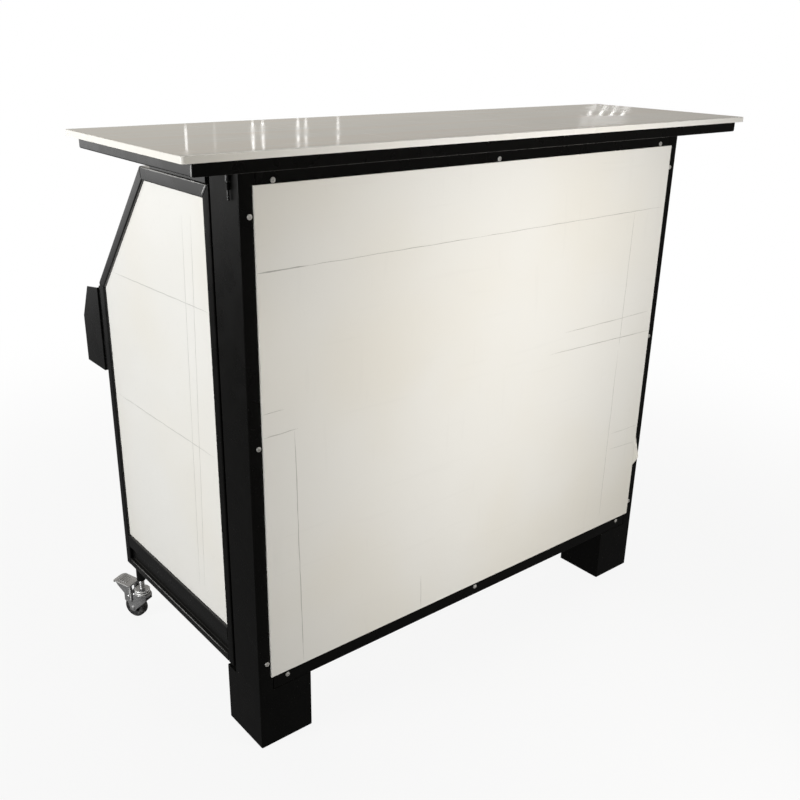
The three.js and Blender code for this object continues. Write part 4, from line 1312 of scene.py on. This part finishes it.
@dataclass
class Caster:
    """A braked swivel caster: threaded stem, pressed fork, wheel and pedal.

    Local axes: first coordinate along the trail, second sideways, third up from the floor.
    The tyre's edge and the hub's dish are in shares of the wheel's radius and insets from its side.
    """

    shop: Workshop
    side: Side
    trail: float = 20.0 * MM
    skim: float = 0.05 * MM
    spare: float = 5.0 * MM
    sheet_round: float = 0.5 * MM
    small_round: float = 0.4 * MM
    wheel_radius: float = 25.0 * MM
    wheel_width: float = 20.0 * MM
    wheel_segments: int = 72
    tyre_edge: Tuple[Point2, ...] = (
        (0.62, 1.4 * MM), (0.8, 0.0), (0.9, 0.2 * MM), (0.965, 1.6 * MM), (0.99, 3.6 * MM),
    )
    groove_place: float = 3.4 * MM
    groove_halves: Span = (0.8 * MM, 0.4 * MM)
    groove_depth: float = 0.7 * MM
    hub_bore: float = 3.0 * MM
    hub_collar: float = 6.5 * MM
    hub_flare: float = 0.6 * MM
    hub_proud: float = 0.4 * MM
    hub_web: float = 3.0 * MM
    hub_dish: Span = (0.5, 0.56)
    hub_inset: float = 1.6 * MM
    rib_span: Span = (5.5 * MM, 14.6 * MM)
    rib_half: float = 0.8 * MM
    rib_inset: float = 1.9 * MM
    rib_turn: int = 60
    fork_half: float = 13.7 * MM
    fork_inner: float = 11.2 * MM
    fork_top: float = 64.6 * MM
    fork_under: float = 60.0 * MM
    fork_nose: float = -22.0 * MM
    fork_spare: float = 3.0 * MM
    fork_foot: float = 8.0 * MM
    tunnel_foot: float = 4.0 * MM
    nose_height: float = 9.0 * MM
    fork_heel: float = 33.0 * MM
    heel_span: Span = (38.0 * MM, 56.0 * MM)
    shoulder: float = 4.0 * MM
    axle_boss: float = 8.5 * MM
    boss_sweep: Span = (195.0, 345.0)
    axle_end: float = 15.9 * MM
    axle_radius: float = 5.5 * MM
    axle_rod: float = 0.52
    head_dome: float = 0.8
    rod_segments: int = 32
    cup_radius: float = 18.5 * MM
    cup_bore: float = 7.0 * MM
    cup_depth: float = 5.0 * MM
    cup_chamfers: Span = (1.6 * MM, 0.9 * MM)
    pivot: Point2 = (26.0 * MM, 56.0 * MM)
    pin_radius: float = 2.5 * MM
    pin_head: float = 3.8 * MM
    pin_gap: float = 0.1 * MM
    pin_rise: float = 1.1 * MM
    pin_clearance: float = 0.3 * MM
    pedal_half: float = 18.0 * MM
    pedal_inner: float = 15.5 * MM
    pedal_sheet: float = 3.0 * MM
    pedal_start: Point2 = (22.0 * MM, 83.0 * MM)
    pedal_bend: Point2 = (58.0 * MM, 89.0 * MM)
    pedal_tip: Point2 = (69.2 * MM, 85.8 * MM)
    tip_corner: float = 8.0 * MM
    gap_reach: float = 0.5 * MM
    gap_drop: float = 0.2 * MM
    bar_count: int = 4
    bar_pitch: float = 5.2 * MM
    bar_radius: float = 1.0 * MM
    bar_sunk: float = 0.3 * MM
    bar_share: float = 0.64
    edge_width: float = 2.5 * MM
    edge_drop: float = 0.4 * MM
    edge_inset: float = 0.6 * MM
    edge: FineLines = FineLines(height=0.2 * MM, step=5.0 * MM, wander=0.1 * MM, seed=53)
    arm_span: Span = (19.0 * MM, 37.0 * MM)
    arm_low: float = 43.0 * MM
    arm_shoulder: float = 63.0 * MM
    arm_corner: float = 4.0 * MM
    arm_end: Point2 = (54.0 * MM, 79.3 * MM)
    shoe_span: Span = (36.0 * MM, 39.0 * MM)
    shoe_heel: float = 49.2 * MM
    shoe_crown: float = 0.3 * MM
    shoe_half: float = 8.0 * MM
    shoe_joint: float = 0.8
    stem_radius: float = 6.0 * MM
    stem_sunk: float = 1.0 * MM
    thread_pitch: float = 1.75 * MM
    thread_root: float = 0.87
    race_span: Span = (65.0 * MM, 75.0 * MM)
    race_radius: float = 17.0 * MM
    race_waist: float = 1.8 * MM
    rim_height: float = 3.0 * MM
    rim_gap: float = 0.3 * MM
    rim_lap: float = 0.4 * MM
    rim_chamfer: Point2 = (0.6 * MM, 0.8 * MM)

    def joint(self, name: str) -> Vector:
        """Returns where a joint of this caster sits."""
        wanted = self.side.named(name)
        return Vector(next(joint["pos_m"] for joint in frame["joints"] if joint["name"] == wanted))

    @property
    def placing(self) -> Matrix:
        """Carries a shell from the caster's own axes to the frame.

        Returns:
            The matrix.
        """
        kingpin = self.joint("caster_swivel")
        axle = self.joint("wheel_spin")
        heading = math.atan2(axle.y - kingpin.y, axle.x - kingpin.x)
        return Matrix.Translation((kingpin.x, kingpin.y, 0.0)) @ Matrix.Rotation(heading, 4, "Z")

    @property
    def at_axle(self) -> Matrix:
        """The matrix that lays a turned shell on the axle."""
        return Matrix.Translation((self.trail, 0.0, self.wheel_radius)) @ STOOD_UP

    def plate_level(self, place: float) -> float:
        """Works out how high the pedal's sloping plate is.

        Args:
            place: the place along the trail.

        Returns:
            The plate's height there.
        """
        start, bend = self.pedal_start, self.pedal_bend
        slope = (bend[1] - start[1]) / (bend[0] - start[0])
        return start[1] + slope * (place - start[0])

    def build(self) -> None:
        """Builds every piece of the caster."""
        self.build_stem()
        self.build_fork()
        self.build_wheel()
        self.build_pedal()

    def add(
        self,
        name: str,
        shell: Shell,
        finish: str,
        body: str,
        slot: str,
        replaced: Sequence[str] = (),
        bevel: float = 0.0,
    ) -> None:
        """Places a shell given in the caster's own axes as a piece.

        Args:
            name: the piece's name without its side.
            shell: the shell.
            finish: name of its finish.
            body: the body without its side.
            slot: the record's material slot.
            replaced: nodes without their side.
            bevel: width of the edge rounding.
        """
        named = self.side.named
        nodes = [named(item) for item in replaced]
        self.shop.piece(named(name), shell.moved(self.placing), finish, named(body), slot, nodes, bevel)

    def build_stem(self) -> None:
        """Builds the threaded stem and the upper race, a drum between two rims that are paler as a painted
        highlight.
        """
        low, high = self.race_span
        rim = self.race_radius
        waist = rim - self.race_waist
        drum = [(0.0, low), (waist, low), (waist, high), (0.0, high)]
        self.add("race_drum", lathe(drum), "zinc", "wing", "zinc", (), self.small_round)
        inner = waist - self.rim_lap
        edge = rim - self.rim_chamfer[0]
        rise = self.rim_chamfer[1]
        rims = Shell([], [])
        for base in (low + self.rim_gap, high - self.rim_lap - self.rim_height):
            end = base + self.rim_height
            ring = [(inner, base), (edge, base), (rim, base + rise)]
            ring += [(rim, end - rise), (edge, end), (inner, end)]
            rims = rims.joined(lathe(ring))
        # The rims take the paler zinc: painted highlights.
        self.add("race_rims", rims, "pale_zinc", "wing", "zinc")
        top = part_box(self.side.named("caster_stem"))[1].z
        root = self.thread_root * self.stem_radius
        foot = high - self.stem_sunk
        thread = []
        for i in range(int((top - high) / self.thread_pitch)):
            base = high + i * self.thread_pitch
            thread += [(root, base), (self.stem_radius, base + 0.5 * self.thread_pitch)]
        stem = lathe([(0.0, foot), (root, foot), *thread, (root, top), (0.0, top)])
        self.add("stem_thread", stem, "zinc", "wing", "zinc", ["caster_stem"])

    def build_fork(self) -> None:
        """Builds the pressed fork with its cup, the axle bolt and the pedal's pin."""
        self.add("fork_shell", self.fork(), "zinc", "caster", "zinc", ["caster_fork"], self.sheet_round)
        top = self.fork_top
        low = top - self.cup_depth
        rim = self.cup_radius
        bore = self.cup_bore
        lower, upper = self.cup_chamfers
        cup = [(bore, low), (rim - lower, low), (rim, low + lower)]
        cup += [(rim, top - upper), (rim - upper, top), (bore, top)]
        self.add("fork_cup", lathe(cup), "zinc", "caster", "zinc")
        rod = self.axle_rod * self.axle_radius
        bolt = self.rod(rod, self.axle_radius, self.fork_half + self.skim, self.axle_end)
        self.add("axle_bolt", bolt.moved(self.at_axle), "zinc", "caster", "zinc")
        face = self.pedal_half + self.pin_gap
        pin = self.rod(self.pin_radius, self.pin_head, face, face + self.pin_rise)
        at_pivot = Matrix.Translation((self.pivot[0], 0.0, self.pivot[1])) @ STOOD_UP
        self.add("pedal_pin", pin.moved(at_pivot), "zinc", "caster", "zinc")

    def rod(self, radius: float, head: float, face: float, end: float) -> Shell:
        """Makes a rod along Z with a domed head at each end.

        Args:
            radius: of the rod.
            head: radius of the heads.
            face: where each head starts, counted from the middle.
            end: where it ends.

        Returns:
            The closed shell.
        """
        rise = 0.5 * (end - face)
        half = [(0.0, end), (self.head_dome * head, end), (head, end - rise), (head, face), (radius, face)]
        return lathe(mirrored(half), self.rod_segments)

    def fork(self) -> Shell:
        """Makes the pressed fork: a channel with a round nose and shaped cheeks.

        Returns:
            The closed shell.
        """
        top = self.fork_top
        shoulder = self.shoulder
        near = self.fork_nose - self.fork_spare
        far = self.fork_heel + self.fork_spare
        lengthwise = Matrix.Rotation(math.radians(90.0), 4, "Z") @ STOOD_UP
        block = prism(self.arch(self.fork_half, top, shoulder, self.fork_foot), near, far).moved(lengthwise)
        under = self.arch(self.fork_inner, self.fork_under, 0.5 * shoulder, self.tunnel_foot)
        tunnel = prism(under, near - MM, far + MM).moved(lengthwise)
        cheek = arc((self.trail, self.wheel_radius), self.axle_boss, *self.boss_sweep, 14)
        back = top - self.heel_span[1]
        cheek += [(self.fork_heel, level) for level in self.heel_span]
        cheek += arc((self.fork_heel - back, self.heel_span[1]), back, 10.0, 90.0, 7)
        cheek += arc((self.fork_nose + shoulder, top - shoulder), shoulder, 90.0, 180.0, 5)
        cheek += [(self.fork_nose, top - self.nose_height)]
        trim = prism(cheek, -2.0 * self.fork_half, 2.0 * self.fork_half).moved(STOOD_UP)
        wide = self.fork_half + self.skim
        plan = arc((self.fork_nose + wide, 0.0), wide, 90.0, 270.0, 20)
        plan += [(far + MM, -wide), (far + MM, wide)]
        nose = prism(plan, 0.0, top + MM)
        return block.cut(tunnel, Cut.DIFFERENCE).cut(trim, Cut.INTERSECT).cut(nose, Cut.INTERSECT)

    def arch(self, half: float, top: float, corner: float, foot: float) -> List[Point2]:
        """Draws an upright section with two rounded upper corners.

        Args:
            half: half its width.
            top: its highest level.
            corner: radius of the corners.
            foot: its lowest level.

        Returns:
            The outline.
        """
        outline = [(-half, foot), (half, foot)]
        outline += arc((half - corner, top - corner), corner, 0.0, 90.0, 8)
        return outline + arc((corner - half, top - corner), corner, 90.0, 180.0, 8)

    def build_wheel(self) -> None:
        """Builds the tyre with its two grooves and the ribbed hub."""
        half = self.wheel_width / 2
        radius = self.wheel_radius
        tyre = [(share * radius, half - inset) for share, inset in self.tyre_edge]
        rim = tyre[0][0]
        place = self.groove_place
        floor = radius - self.groove_depth
        mouth, base = self.groove_halves
        tyre += [(radius, place + mouth), (floor, place + base)]
        tyre += [(floor, place - base), (radius, place - mouth)]
        shell = lathe(mirrored(tyre), self.wheel_segments).moved(self.at_axle)
        self.add("tyre", shell, "wheel_rubber", "wheel", "wheel_rubber", ["caster_wheel"])
        collar = self.hub_collar
        proud = half + self.hub_proud
        dish, lip = (share * radius for share in self.hub_dish)
        hub = [(self.hub_bore, proud), (collar, proud), (collar + self.hub_flare, self.hub_web)]
        hub += [(dish, self.hub_web), (lip, half - self.hub_inset), (rim, half - self.hub_inset)]
        body = lathe(mirrored(hub))
        near, far = self.rib_span
        thick = self.rib_half
        outline = [(near, -thick), (far, -thick), (far, thick), (near, thick)]
        rib = prism(outline, self.rib_inset - half, half - self.rib_inset)
        for turn in range(0, 360, self.rib_turn):
            body = body.cut(rib.moved(Matrix.Rotation(math.radians(turn), 4, "Z")), Cut.UNION)
        self.add("wheel_hub", body.moved(self.at_axle), "hub_plastic", "wheel", "wheel_rubber")

    def build_pedal(self) -> None:
        """Builds the brake pedal: a folded channel with tread bars and a shoe over the wheel."""
        pedal = self.channel()
        half = self.bar_share * self.pedal_half
        for i in range(self.bar_count):
            place = self.arm_span[1] + i * self.bar_pitch
            level = self.plate_level(place) - self.bar_sunk
            bar = prism(arc((place, level), self.bar_radius, 0.0, 180.0, 8), -half, half).moved(STOOD_UP)
            pedal = pedal.cut(bar, Cut.UNION)
        self.add("pedal_plate", pedal, "zinc", "pedal", "zinc", ["brake_pedal"], self.sheet_round)
        # A pale line along the sheet's edge: a painted highlight.
        self.add("pedal_edge", self.cut_edge(), "pale_zinc", "pedal", "zinc")
        front, back = self.shoe_span
        heel = self.shoe_heel
        under = self.plate_level(front) - self.shoe_joint * self.pedal_sheet
        shoe = [(front, heel), (0.5 * (front + back), heel - self.shoe_crown), (back, heel)]
        shoe += [(back, under), (front, under)]
        blade = prism(shoe, -self.shoe_half, self.shoe_half).moved(STOOD_UP)
        self.add("brake_shoe", blade, "zinc", "pedal", "zinc", (), self.small_round)

    def cut_edge(self) -> Shell:
        """Makes the pale line along the pedal sheet's edge, a painted highlight, along the plate and down the
        arm on each side.

        Returns:
            A shell with a closed ridge for each stretch of the edge.
        """
        drop = Vector((0.0, 0.5 * self.edge_width + self.edge_drop))
        corners = (self.pedal_start, self.pedal_bend, self.pedal_tip)
        start, bend, tip = (Vector(corner) - drop for corner in corners)
        end = bend.lerp(tip, 1.0 - self.tip_corner / (tip.x - bend.x))
        front = self.arm_span[0] + 0.5 * self.edge_width + self.edge_inset
        foot = Vector((front, self.arm_low + self.arm_corner))
        runs = ((start, bend), (bend, end), (foot, start))
        lines = [FineLine(tuple(a), tuple(b), self.edge_width) for a, b in runs]
        whole = Shell([], [])
        for way in (FRONT, BACK):
            whole = whole.joined(self.edge.shell(lines, way * self.pedal_half, ACROSS, way))
        return whole

    def channel(self) -> Shell:
        """Makes the pedal's folded sheet: the sloping plate and an arm down each side, with the pin's holes.

        Returns:
            The closed shell.
        """
        thick = self.pedal_sheet
        bend, tip = self.pedal_bend, self.pedal_tip
        front, back = self.arm_span
        corner = self.arm_corner
        foot = self.arm_low + corner
        side = arc((front + corner, foot), corner, 180.0, 270.0, 6)
        side += arc((back - corner, foot), corner, 270.0, 360.0, 6)
        side += [(back, self.arm_shoulder), self.arm_end]
        side += [(bend[0], bend[1] - thick), (tip[0], tip[1] - thick)]
        side += [tip, bend, self.pedal_start, (front, self.arm_shoulder)]
        whole = prism(side, -self.pedal_half, self.pedal_half).moved(STOOD_UP)
        near = front - self.spare
        far = bend[0] + self.gap_reach
        low = self.arm_low - self.spare
        gap = [(near, low), (far, low), (far, bend[1] - thick - self.gap_drop), (bend[0], bend[1] - thick)]
        gap += [(near, self.plate_level(near) - thick)]
        inside = prism(gap, -self.pedal_inner, self.pedal_inner).moved(STOOD_UP)
        wide = self.pedal_half + self.skim
        curve = self.tip_corner
        centre = tip[0] + self.skim - curve
        plan = [(near, wide), (near, -wide)]
        plan += arc((centre, curve - wide), curve, 270.0, 360.0, 8)
        plan += arc((centre, wide - curve), curve, 0.0, 90.0, 8)
        trim = prism(plan, low, bend[1] + self.spare)
        bore = arc(self.pivot, self.pin_radius + self.pin_clearance, 0.0, 345.0, 23)
        hole = prism(bore, -wide, wide).moved(STOOD_UP)
        folded = whole.cut(inside, Cut.DIFFERENCE).cut(trim, Cut.INTERSECT)
        return folded.cut(hole, Cut.DIFFERENCE)


@dataclass
class Counter:
    """The lift-off counter: a white slab under film on a black tube frame."""

    shop: Workshop
    body: str = "counter"
    tube_round: float = 1.0 * MM
    slab_round: float = 2.0 * MM
    film_inset: float = 1.2 * MM
    film_front: float = 8.0 * MM
    film_rise: float = 0.16 * MM
    film_thick: float = 0.1 * MM
    film_corner: float = 5.0 * MM
    film_columns: int = 150
    film_rows: int = 46
    ripple: float = 0.015 * MM
    swell_rates: Tuple[Point2, Point2] = ((31.0, 9.0), (-4.0, 23.0))
    fine_rate: float = 57.0
    fine_share: float = 0.5
    edge_width: float = 4.0 * MM
    paint: FineLines = FineLines(height=0.15 * MM, step=4.0 * MM, wander=0.1 * MM, seed=47)

    def build(self) -> None:
        """Dresses the slab and the frame and lays the film."""
        # The front tube takes the darker front copy of the black coat: painted shade.
        self.shop.dress("counter_tube_front", "front_paint", self.tube_round)
        for node in ("tube_rear", "tube_left", "tube_right", "cross_left", "cross_right"):
            self.shop.dress(f"counter_{node}", "black_paint", self.tube_round)
        self.shop.dress("counter_slab", "slab_sheet", self.slab_round)
        self.shop.piece("slab_film", self.film(), "slab_film", self.body, "slab_sheet")
        for side in Side:
            self.add_painted_corner_highlight(side)

    def add_painted_corner_highlight(self, side: Side) -> None:
        """Marks the frame's upright front corner with a pale line, a painted highlight.

        Args:
            side: which corner.
        """
        low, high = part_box(side.named("counter_tube"))
        place = low.y + self.tube_round + 0.5 * self.edge_width
        edge = FineLine((place, low.z + self.tube_round), (place, high.z - self.tube_round), self.edge_width)
        shell = self.paint.shell([edge], Vector((side.outer(low, high), 0.0, 0.0)), BACK, side.out)
        # A pale line up the corner: a painted highlight.
        self.shop.piece(side.named("counter_corner"), shell, "rubbed_bright", self.body, "black_paint")

    def film(self) -> Shell:
        """Makes the film on the slab, rippled and rounded at the corners.

        Returns:
            The closed sheet.
        """
        low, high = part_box("counter_slab")
        inset = self.film_inset + self.slab_round * 0.5
        low = low + BACK * self.film_front
        points: List[Vector] = []
        for i in range(self.film_rows + 1):
            v = 2.0 * i / self.film_rows - 1.0
            for j in range(self.film_columns + 1):
                x, y = self.rounded(2.0 * j / self.film_columns - 1.0, v, low, high, inset)
                points.append(Vector((x, y, high.z + self.film_rise + self.ripple * self.swell(x, y))))
        return sheet(points, self.film_columns, Vector((0.0, 0.0, -self.film_thick)))

    def swell(self, x: float, y: float) -> float:
        """Returns the film's wave at a place, in shares of the ripple."""
        first, second = (math.sin(by_x * x + by_y * y) for by_x, by_y in self.swell_rates)
        return first * second + self.fine_share * math.sin(self.fine_rate * x)

    def rounded(self, u: float, v: float, low: Vector, high: Vector, inset: float) -> Point2:
        """Maps a point of a square onto the slab's top with rounded corners.

        Args:
            u: place from left to right, -1 to 1.
            v: place from front to back, -1 to 1.
            low: lowest corner of the slab.
            high: highest corner of the slab.
            inset: how far the film stops short of the edge.

        Returns:
            The place on the slab.
        """
        half_x = (high.x - low.x) / 2 - inset
        half_y = (high.y - low.y) / 2 - inset
        x = half_x * u
        y = half_y * v
        over_x = max(0.0, abs(x) - (half_x - self.film_corner))
        over_y = max(0.0, abs(y) - (half_y - self.film_corner))
        if over_x > 0.0 and over_y > 0.0:
            square = max(over_x, over_y)
            shrink = square / math.hypot(over_x, over_y)
            x = math.copysign(half_x - self.film_corner + over_x * shrink, x)
            y = math.copysign(half_y - self.film_corner + over_y * shrink, y)
        return (low.x + high.x) / 2 + x, (low.y + high.y) / 2 + y


@dataclass
class BottleRail:
    """The bottle rail behind the wings: a folded trough on two hooks."""

    shop: Workshop
    sheet_round: float = 0.5 * MM

    def build(self) -> None:
        """Dresses the trough and its hooks."""
        for node in ("rail_trough", "rail_hook_left", "rail_hook_right"):
            self.shop.dress(node, "satin_paint", self.sheet_round, SHEET_STEPS)


WARM_LAMP = (1.0, 0.985, 0.95)
PALE_LAMP = (1.0, 0.99, 0.97)


@dataclass(frozen=True)
class SoftLamp:
    """A soft lamp: where it stands, what it faces, how large and how strong it is."""

    name: str
    place: Point3
    target: Point3
    width: float
    height: float
    power: float
    colour: Colour = WHITE
    mirrored: bool = True
    tilt: float = 0.0

    def build(self) -> None:
        """Adds the lamp to the scene."""
        lamp = bpy.data.lights.new(self.name, "AREA")
        lamp.shape = "RECTANGLE"
        lamp.size = self.width
        lamp.size_y = self.height
        lamp.energy = self.power
        lamp.color = self.colour
        item = bpy.data.objects.new(self.name, lamp)
        item.location = self.place
        facing = Vector(self.target) - Vector(self.place)
        lean = Matrix.Rotation(math.radians(self.tilt), 3, "Z")
        item.rotation_euler = (facing.to_track_quat("-Z", "Y").to_matrix() @ lean).to_euler()
        item.visible_camera = False
        item.visible_glossy = self.mirrored
        bpy.context.scene.collection.objects.link(item)


@dataclass
class Studio:
    """The pale floor, the soft light and the camera."""

    floor_half: float = 14.0
    floor_drop: float = 0.2 * MM
    floor_colour: Colour = (0.38, 0.38, 0.375)
    floor_share: Span = (0.90, 1.0)
    floor_fade: Span = (0.9, 2.6)
    mirrored_floor: Span = (0.10, 1.0)
    mirrored_fade: Span = (1.8, 7.8)
    room_light: float = 0.23
    room_colour: Colour = (1.0, 0.955, 0.85)
    wall_colour: Colour = (1.0, 0.965, 0.90)
    wall_light: Span = (0.10, 0.72)
    wall_turn: Span = (-0.3, 1.0)
    roof_light: float = 0.45
    roof_fade: Span = (0.16, 0.5)
    eye: Point3 = (-1.238, -1.51675, 1.2595)
    azimuth: float = -39.82
    elevation: float = 21.65
    roll: float = 1.22
    lens: float = 41.94
    sensor: float = 36.0
    lamps: Tuple[SoftLamp, ...] = (
        SoftLamp("upper_lamp", (0.13, -1.08, 1.03), (0.13, 0.0, 1.03), 0.68, 0.15, 4.4, WARM_LAMP, False),
        SoftLamp("lower_lamp", (0.05, -1.25, 0.41), (0.05, 0.0, 0.41), 0.30, 0.33, 4.9, WARM_LAMP, False),
        SoftLamp("left_lamp", (-2.95, 0.1, 1.3), (-0.54, 0.05, 0.9), 1.0, 1.0, 61.5, (0.99, 1.0, 1.0)),
        SoftLamp("right_lamp", (2.75, 0.3, 0.7), (0.54, 0.3, 0.7), 1.0, 0.7, 34.0, PALE_LAMP, False),
        SoftLamp("rear_lamp", (0.0, 3.0, 0.7), (0.0, 0.0, 0.7), 1.8, 1.2, 60.0, PALE_LAMP, False),
        SoftLamp("top_lamp", (-0.25, 0.05, 3.2), (-0.25, 0.05, 1.1), 0.9, 0.5, 13.0, PALE_LAMP, False),
    )
    tube_places: Tuple[float, ...] = (0.856, 1.006, 1.217, 1.274, 1.482, 1.530, 1.732)
    tube_powers: Tuple[float, ...] = (0.005, 0.001, 0.010, 0.009, 0.009, 0.007, 0.006)
    tube_depth: float = 2.6
    tube_level: float = 1.44
    tube_size: Span = (0.012, 0.12)
    slant_places: Tuple[float, ...] = (3.74, 3.86, 3.98, 4.10)
    slant_powers: Tuple[float, ...] = (0.018, 0.022, 0.022, 0.022)
    slant_size: Span = (0.01, 0.24)
    slant: float = -43.0

    def build(self) -> None:
        """Adds the floor, the world, the lamps and the camera."""
        scene = bpy.context.scene
        scene.view_settings.view_transform = "Standard"
        self.build_floor()
        self.build_world()
        for lamp in self.lamps:
            lamp.build()
        self.build_tubes()
        scene.camera = self.build_camera()

    def build_tubes(self) -> None:
        """Adds the slim tubes behind the bar that the counter top mirrors as straight and slanted streaks."""
        for i, (place, power) in enumerate(zip(self.tube_places, self.tube_powers)):
            spot = (place, self.tube_depth, self.tube_level)
            SoftLamp(f"far_tube_{i + 1}", spot, (0.0, 0.0, self.tube_level), *self.tube_size, power).build()
        for i, (place, power) in enumerate(zip(self.slant_places, self.slant_powers)):
            spot = (place, self.tube_depth, self.tube_level)
            target = (place, 0.0, self.tube_level)
            SoftLamp(f"slanted_tube_{i + 1}", spot, target, *self.slant_size, power, tilt=self.slant).build()

    def build_floor(self) -> None:
        """Adds the pale floor: white to the camera apart from a soft shadow, dim in mirrors when near."""
        half = self.floor_half
        square = ((-half, -half), (half, -half), (half, half), (-half, half))
        corners = [Vector((x, y, -self.floor_drop)) for x, y in square]
        floor = bpy.data.objects.new("floor", Shell(corners, [(0, 1, 2, 3)]).mesh("floor"))
        bpy.context.scene.collection.objects.link(floor)
        material = bpy.data.materials.new("floor")
        material.use_nodes = True
        material.node_tree.nodes.clear()
        graph = Graph(material.node_tree)
        place = graph.place()
        away = graph.add("ShaderNodeVectorMath", {0: place}, operation="LENGTH").outputs["Value"]
        back = graph.add("ShaderNodeSeparateXYZ", {0: place}).outputs["Y"]
        path = graph.add("ShaderNodeLightPath").outputs
        mirrored_ray = graph.math("MAXIMUM", path["Is Glossy Ray"], path["Is Transmission Ray"])
        fade = graph.span(away, *self.floor_fade, *self.floor_share)
        straight = graph.math("MULTIPLY", path["Is Camera Ray"], fade)
        depth = graph.span(back, *self.mirrored_fade, *self.mirrored_floor)
        far = graph.math("MULTIPLY", mirrored_ray, depth)
        strength = graph.math("ADD", path["Is Camera Ray"], far)
        matt = graph.add("ShaderNodeBsdfDiffuse", {"Color": self.floor_colour})
        glow = graph.add("ShaderNodeEmission", {"Color": WHITE, "Strength": strength})
        share = graph.math("MAXIMUM", straight, mirrored_ray)
        mixed = graph.add("ShaderNodeMixShader", {0: share, 1: matt.outputs[0], 2: glow.outputs[0]})
        output = graph.add("ShaderNodeOutputMaterial")
        graph.feed(output.inputs["Surface"], mixed.outputs[0])
        floor.data.materials.append(material)

    def build_world(self) -> None:
        """Sets a white background, a room for mirrors that is palest behind the bar, and even room light."""
        world = bpy.data.worlds.new("room")
        world.use_nodes = True
        world.node_tree.nodes.clear()
        graph = Graph(world.node_tree)
        path = graph.add("ShaderNodeLightPath").outputs
        direct = graph.math("MAXIMUM", path["Is Camera Ray"], path["Is Transmission Ray"])
        toward = graph.add("ShaderNodeTexCoord").outputs["Generated"]
        parts = graph.add("ShaderNodeSeparateXYZ", {0: toward}).outputs
        low = graph.span(parts["Y"], *self.wall_turn, *self.wall_light)
        wall = graph.span(parts["Z"], *self.roof_fade, low, self.roof_light)
        shown = graph.math("ADD", direct, graph.math("MULTIPLY", path["Is Glossy Ray"], wall))
        lit = graph.math("SUBTRACT", 1.0, graph.math("MAXIMUM", direct, path["Is Glossy Ray"]))
        strength = graph.math("ADD", shown, graph.math("MULTIPLY", lit, self.room_light))
        seen = graph.mix(path["Is Glossy Ray"], WHITE, self.wall_colour)
        tone = graph.mix(lit, seen, self.room_colour)
        background = graph.add("ShaderNodeBackground", {"Color": tone, "Strength": strength})
        output = graph.add("ShaderNodeOutputWorld")
        graph.feed(output.inputs["Surface"], background.outputs[0])
        bpy.context.scene.world = world

    def build_camera(self) -> bpy.types.Object:
        """Adds the camera at the photograph's viewing angle.

        Returns:
            The camera.
        """
        data = bpy.data.cameras.new("camera")
        data.lens = self.lens
        data.sensor_width = self.sensor
        camera = bpy.data.objects.new("camera", data)
        bpy.context.scene.collection.objects.link(camera)
        turn = math.radians(self.azimuth)
        rise = math.radians(self.elevation)
        roll = math.radians(self.roll)
        back = Vector((math.sin(turn) * math.cos(rise), -math.cos(turn) * math.cos(rise), math.sin(rise)))
        right = (-back).cross(UP).normalized()
        up = right.cross(-back)
        tilted_right = right * math.cos(roll) + up * math.sin(roll)
        tilted_up = up * math.cos(roll) - right * math.sin(roll)
        facing = Matrix((tilted_right, tilted_up, back)).transposed().to_4x4()
        camera.matrix_world = Matrix.Translation(self.eye) @ facing
        return camera


def main() -> None:
    """Builds the studio and every sub-assembly."""
    logging.basicConfig(level=logging.INFO, format="%(name)s: %(message)s")
    Studio().build()
    shop = Workshop(Finishes())
    FrontUnit(shop).build()
    for side in Side:
        Wing(shop, side).build()
        Caster(shop, side).build()
    Counter(shop).build()
    BottleRail(shop).build()


if __name__ == "__main__":
    main()
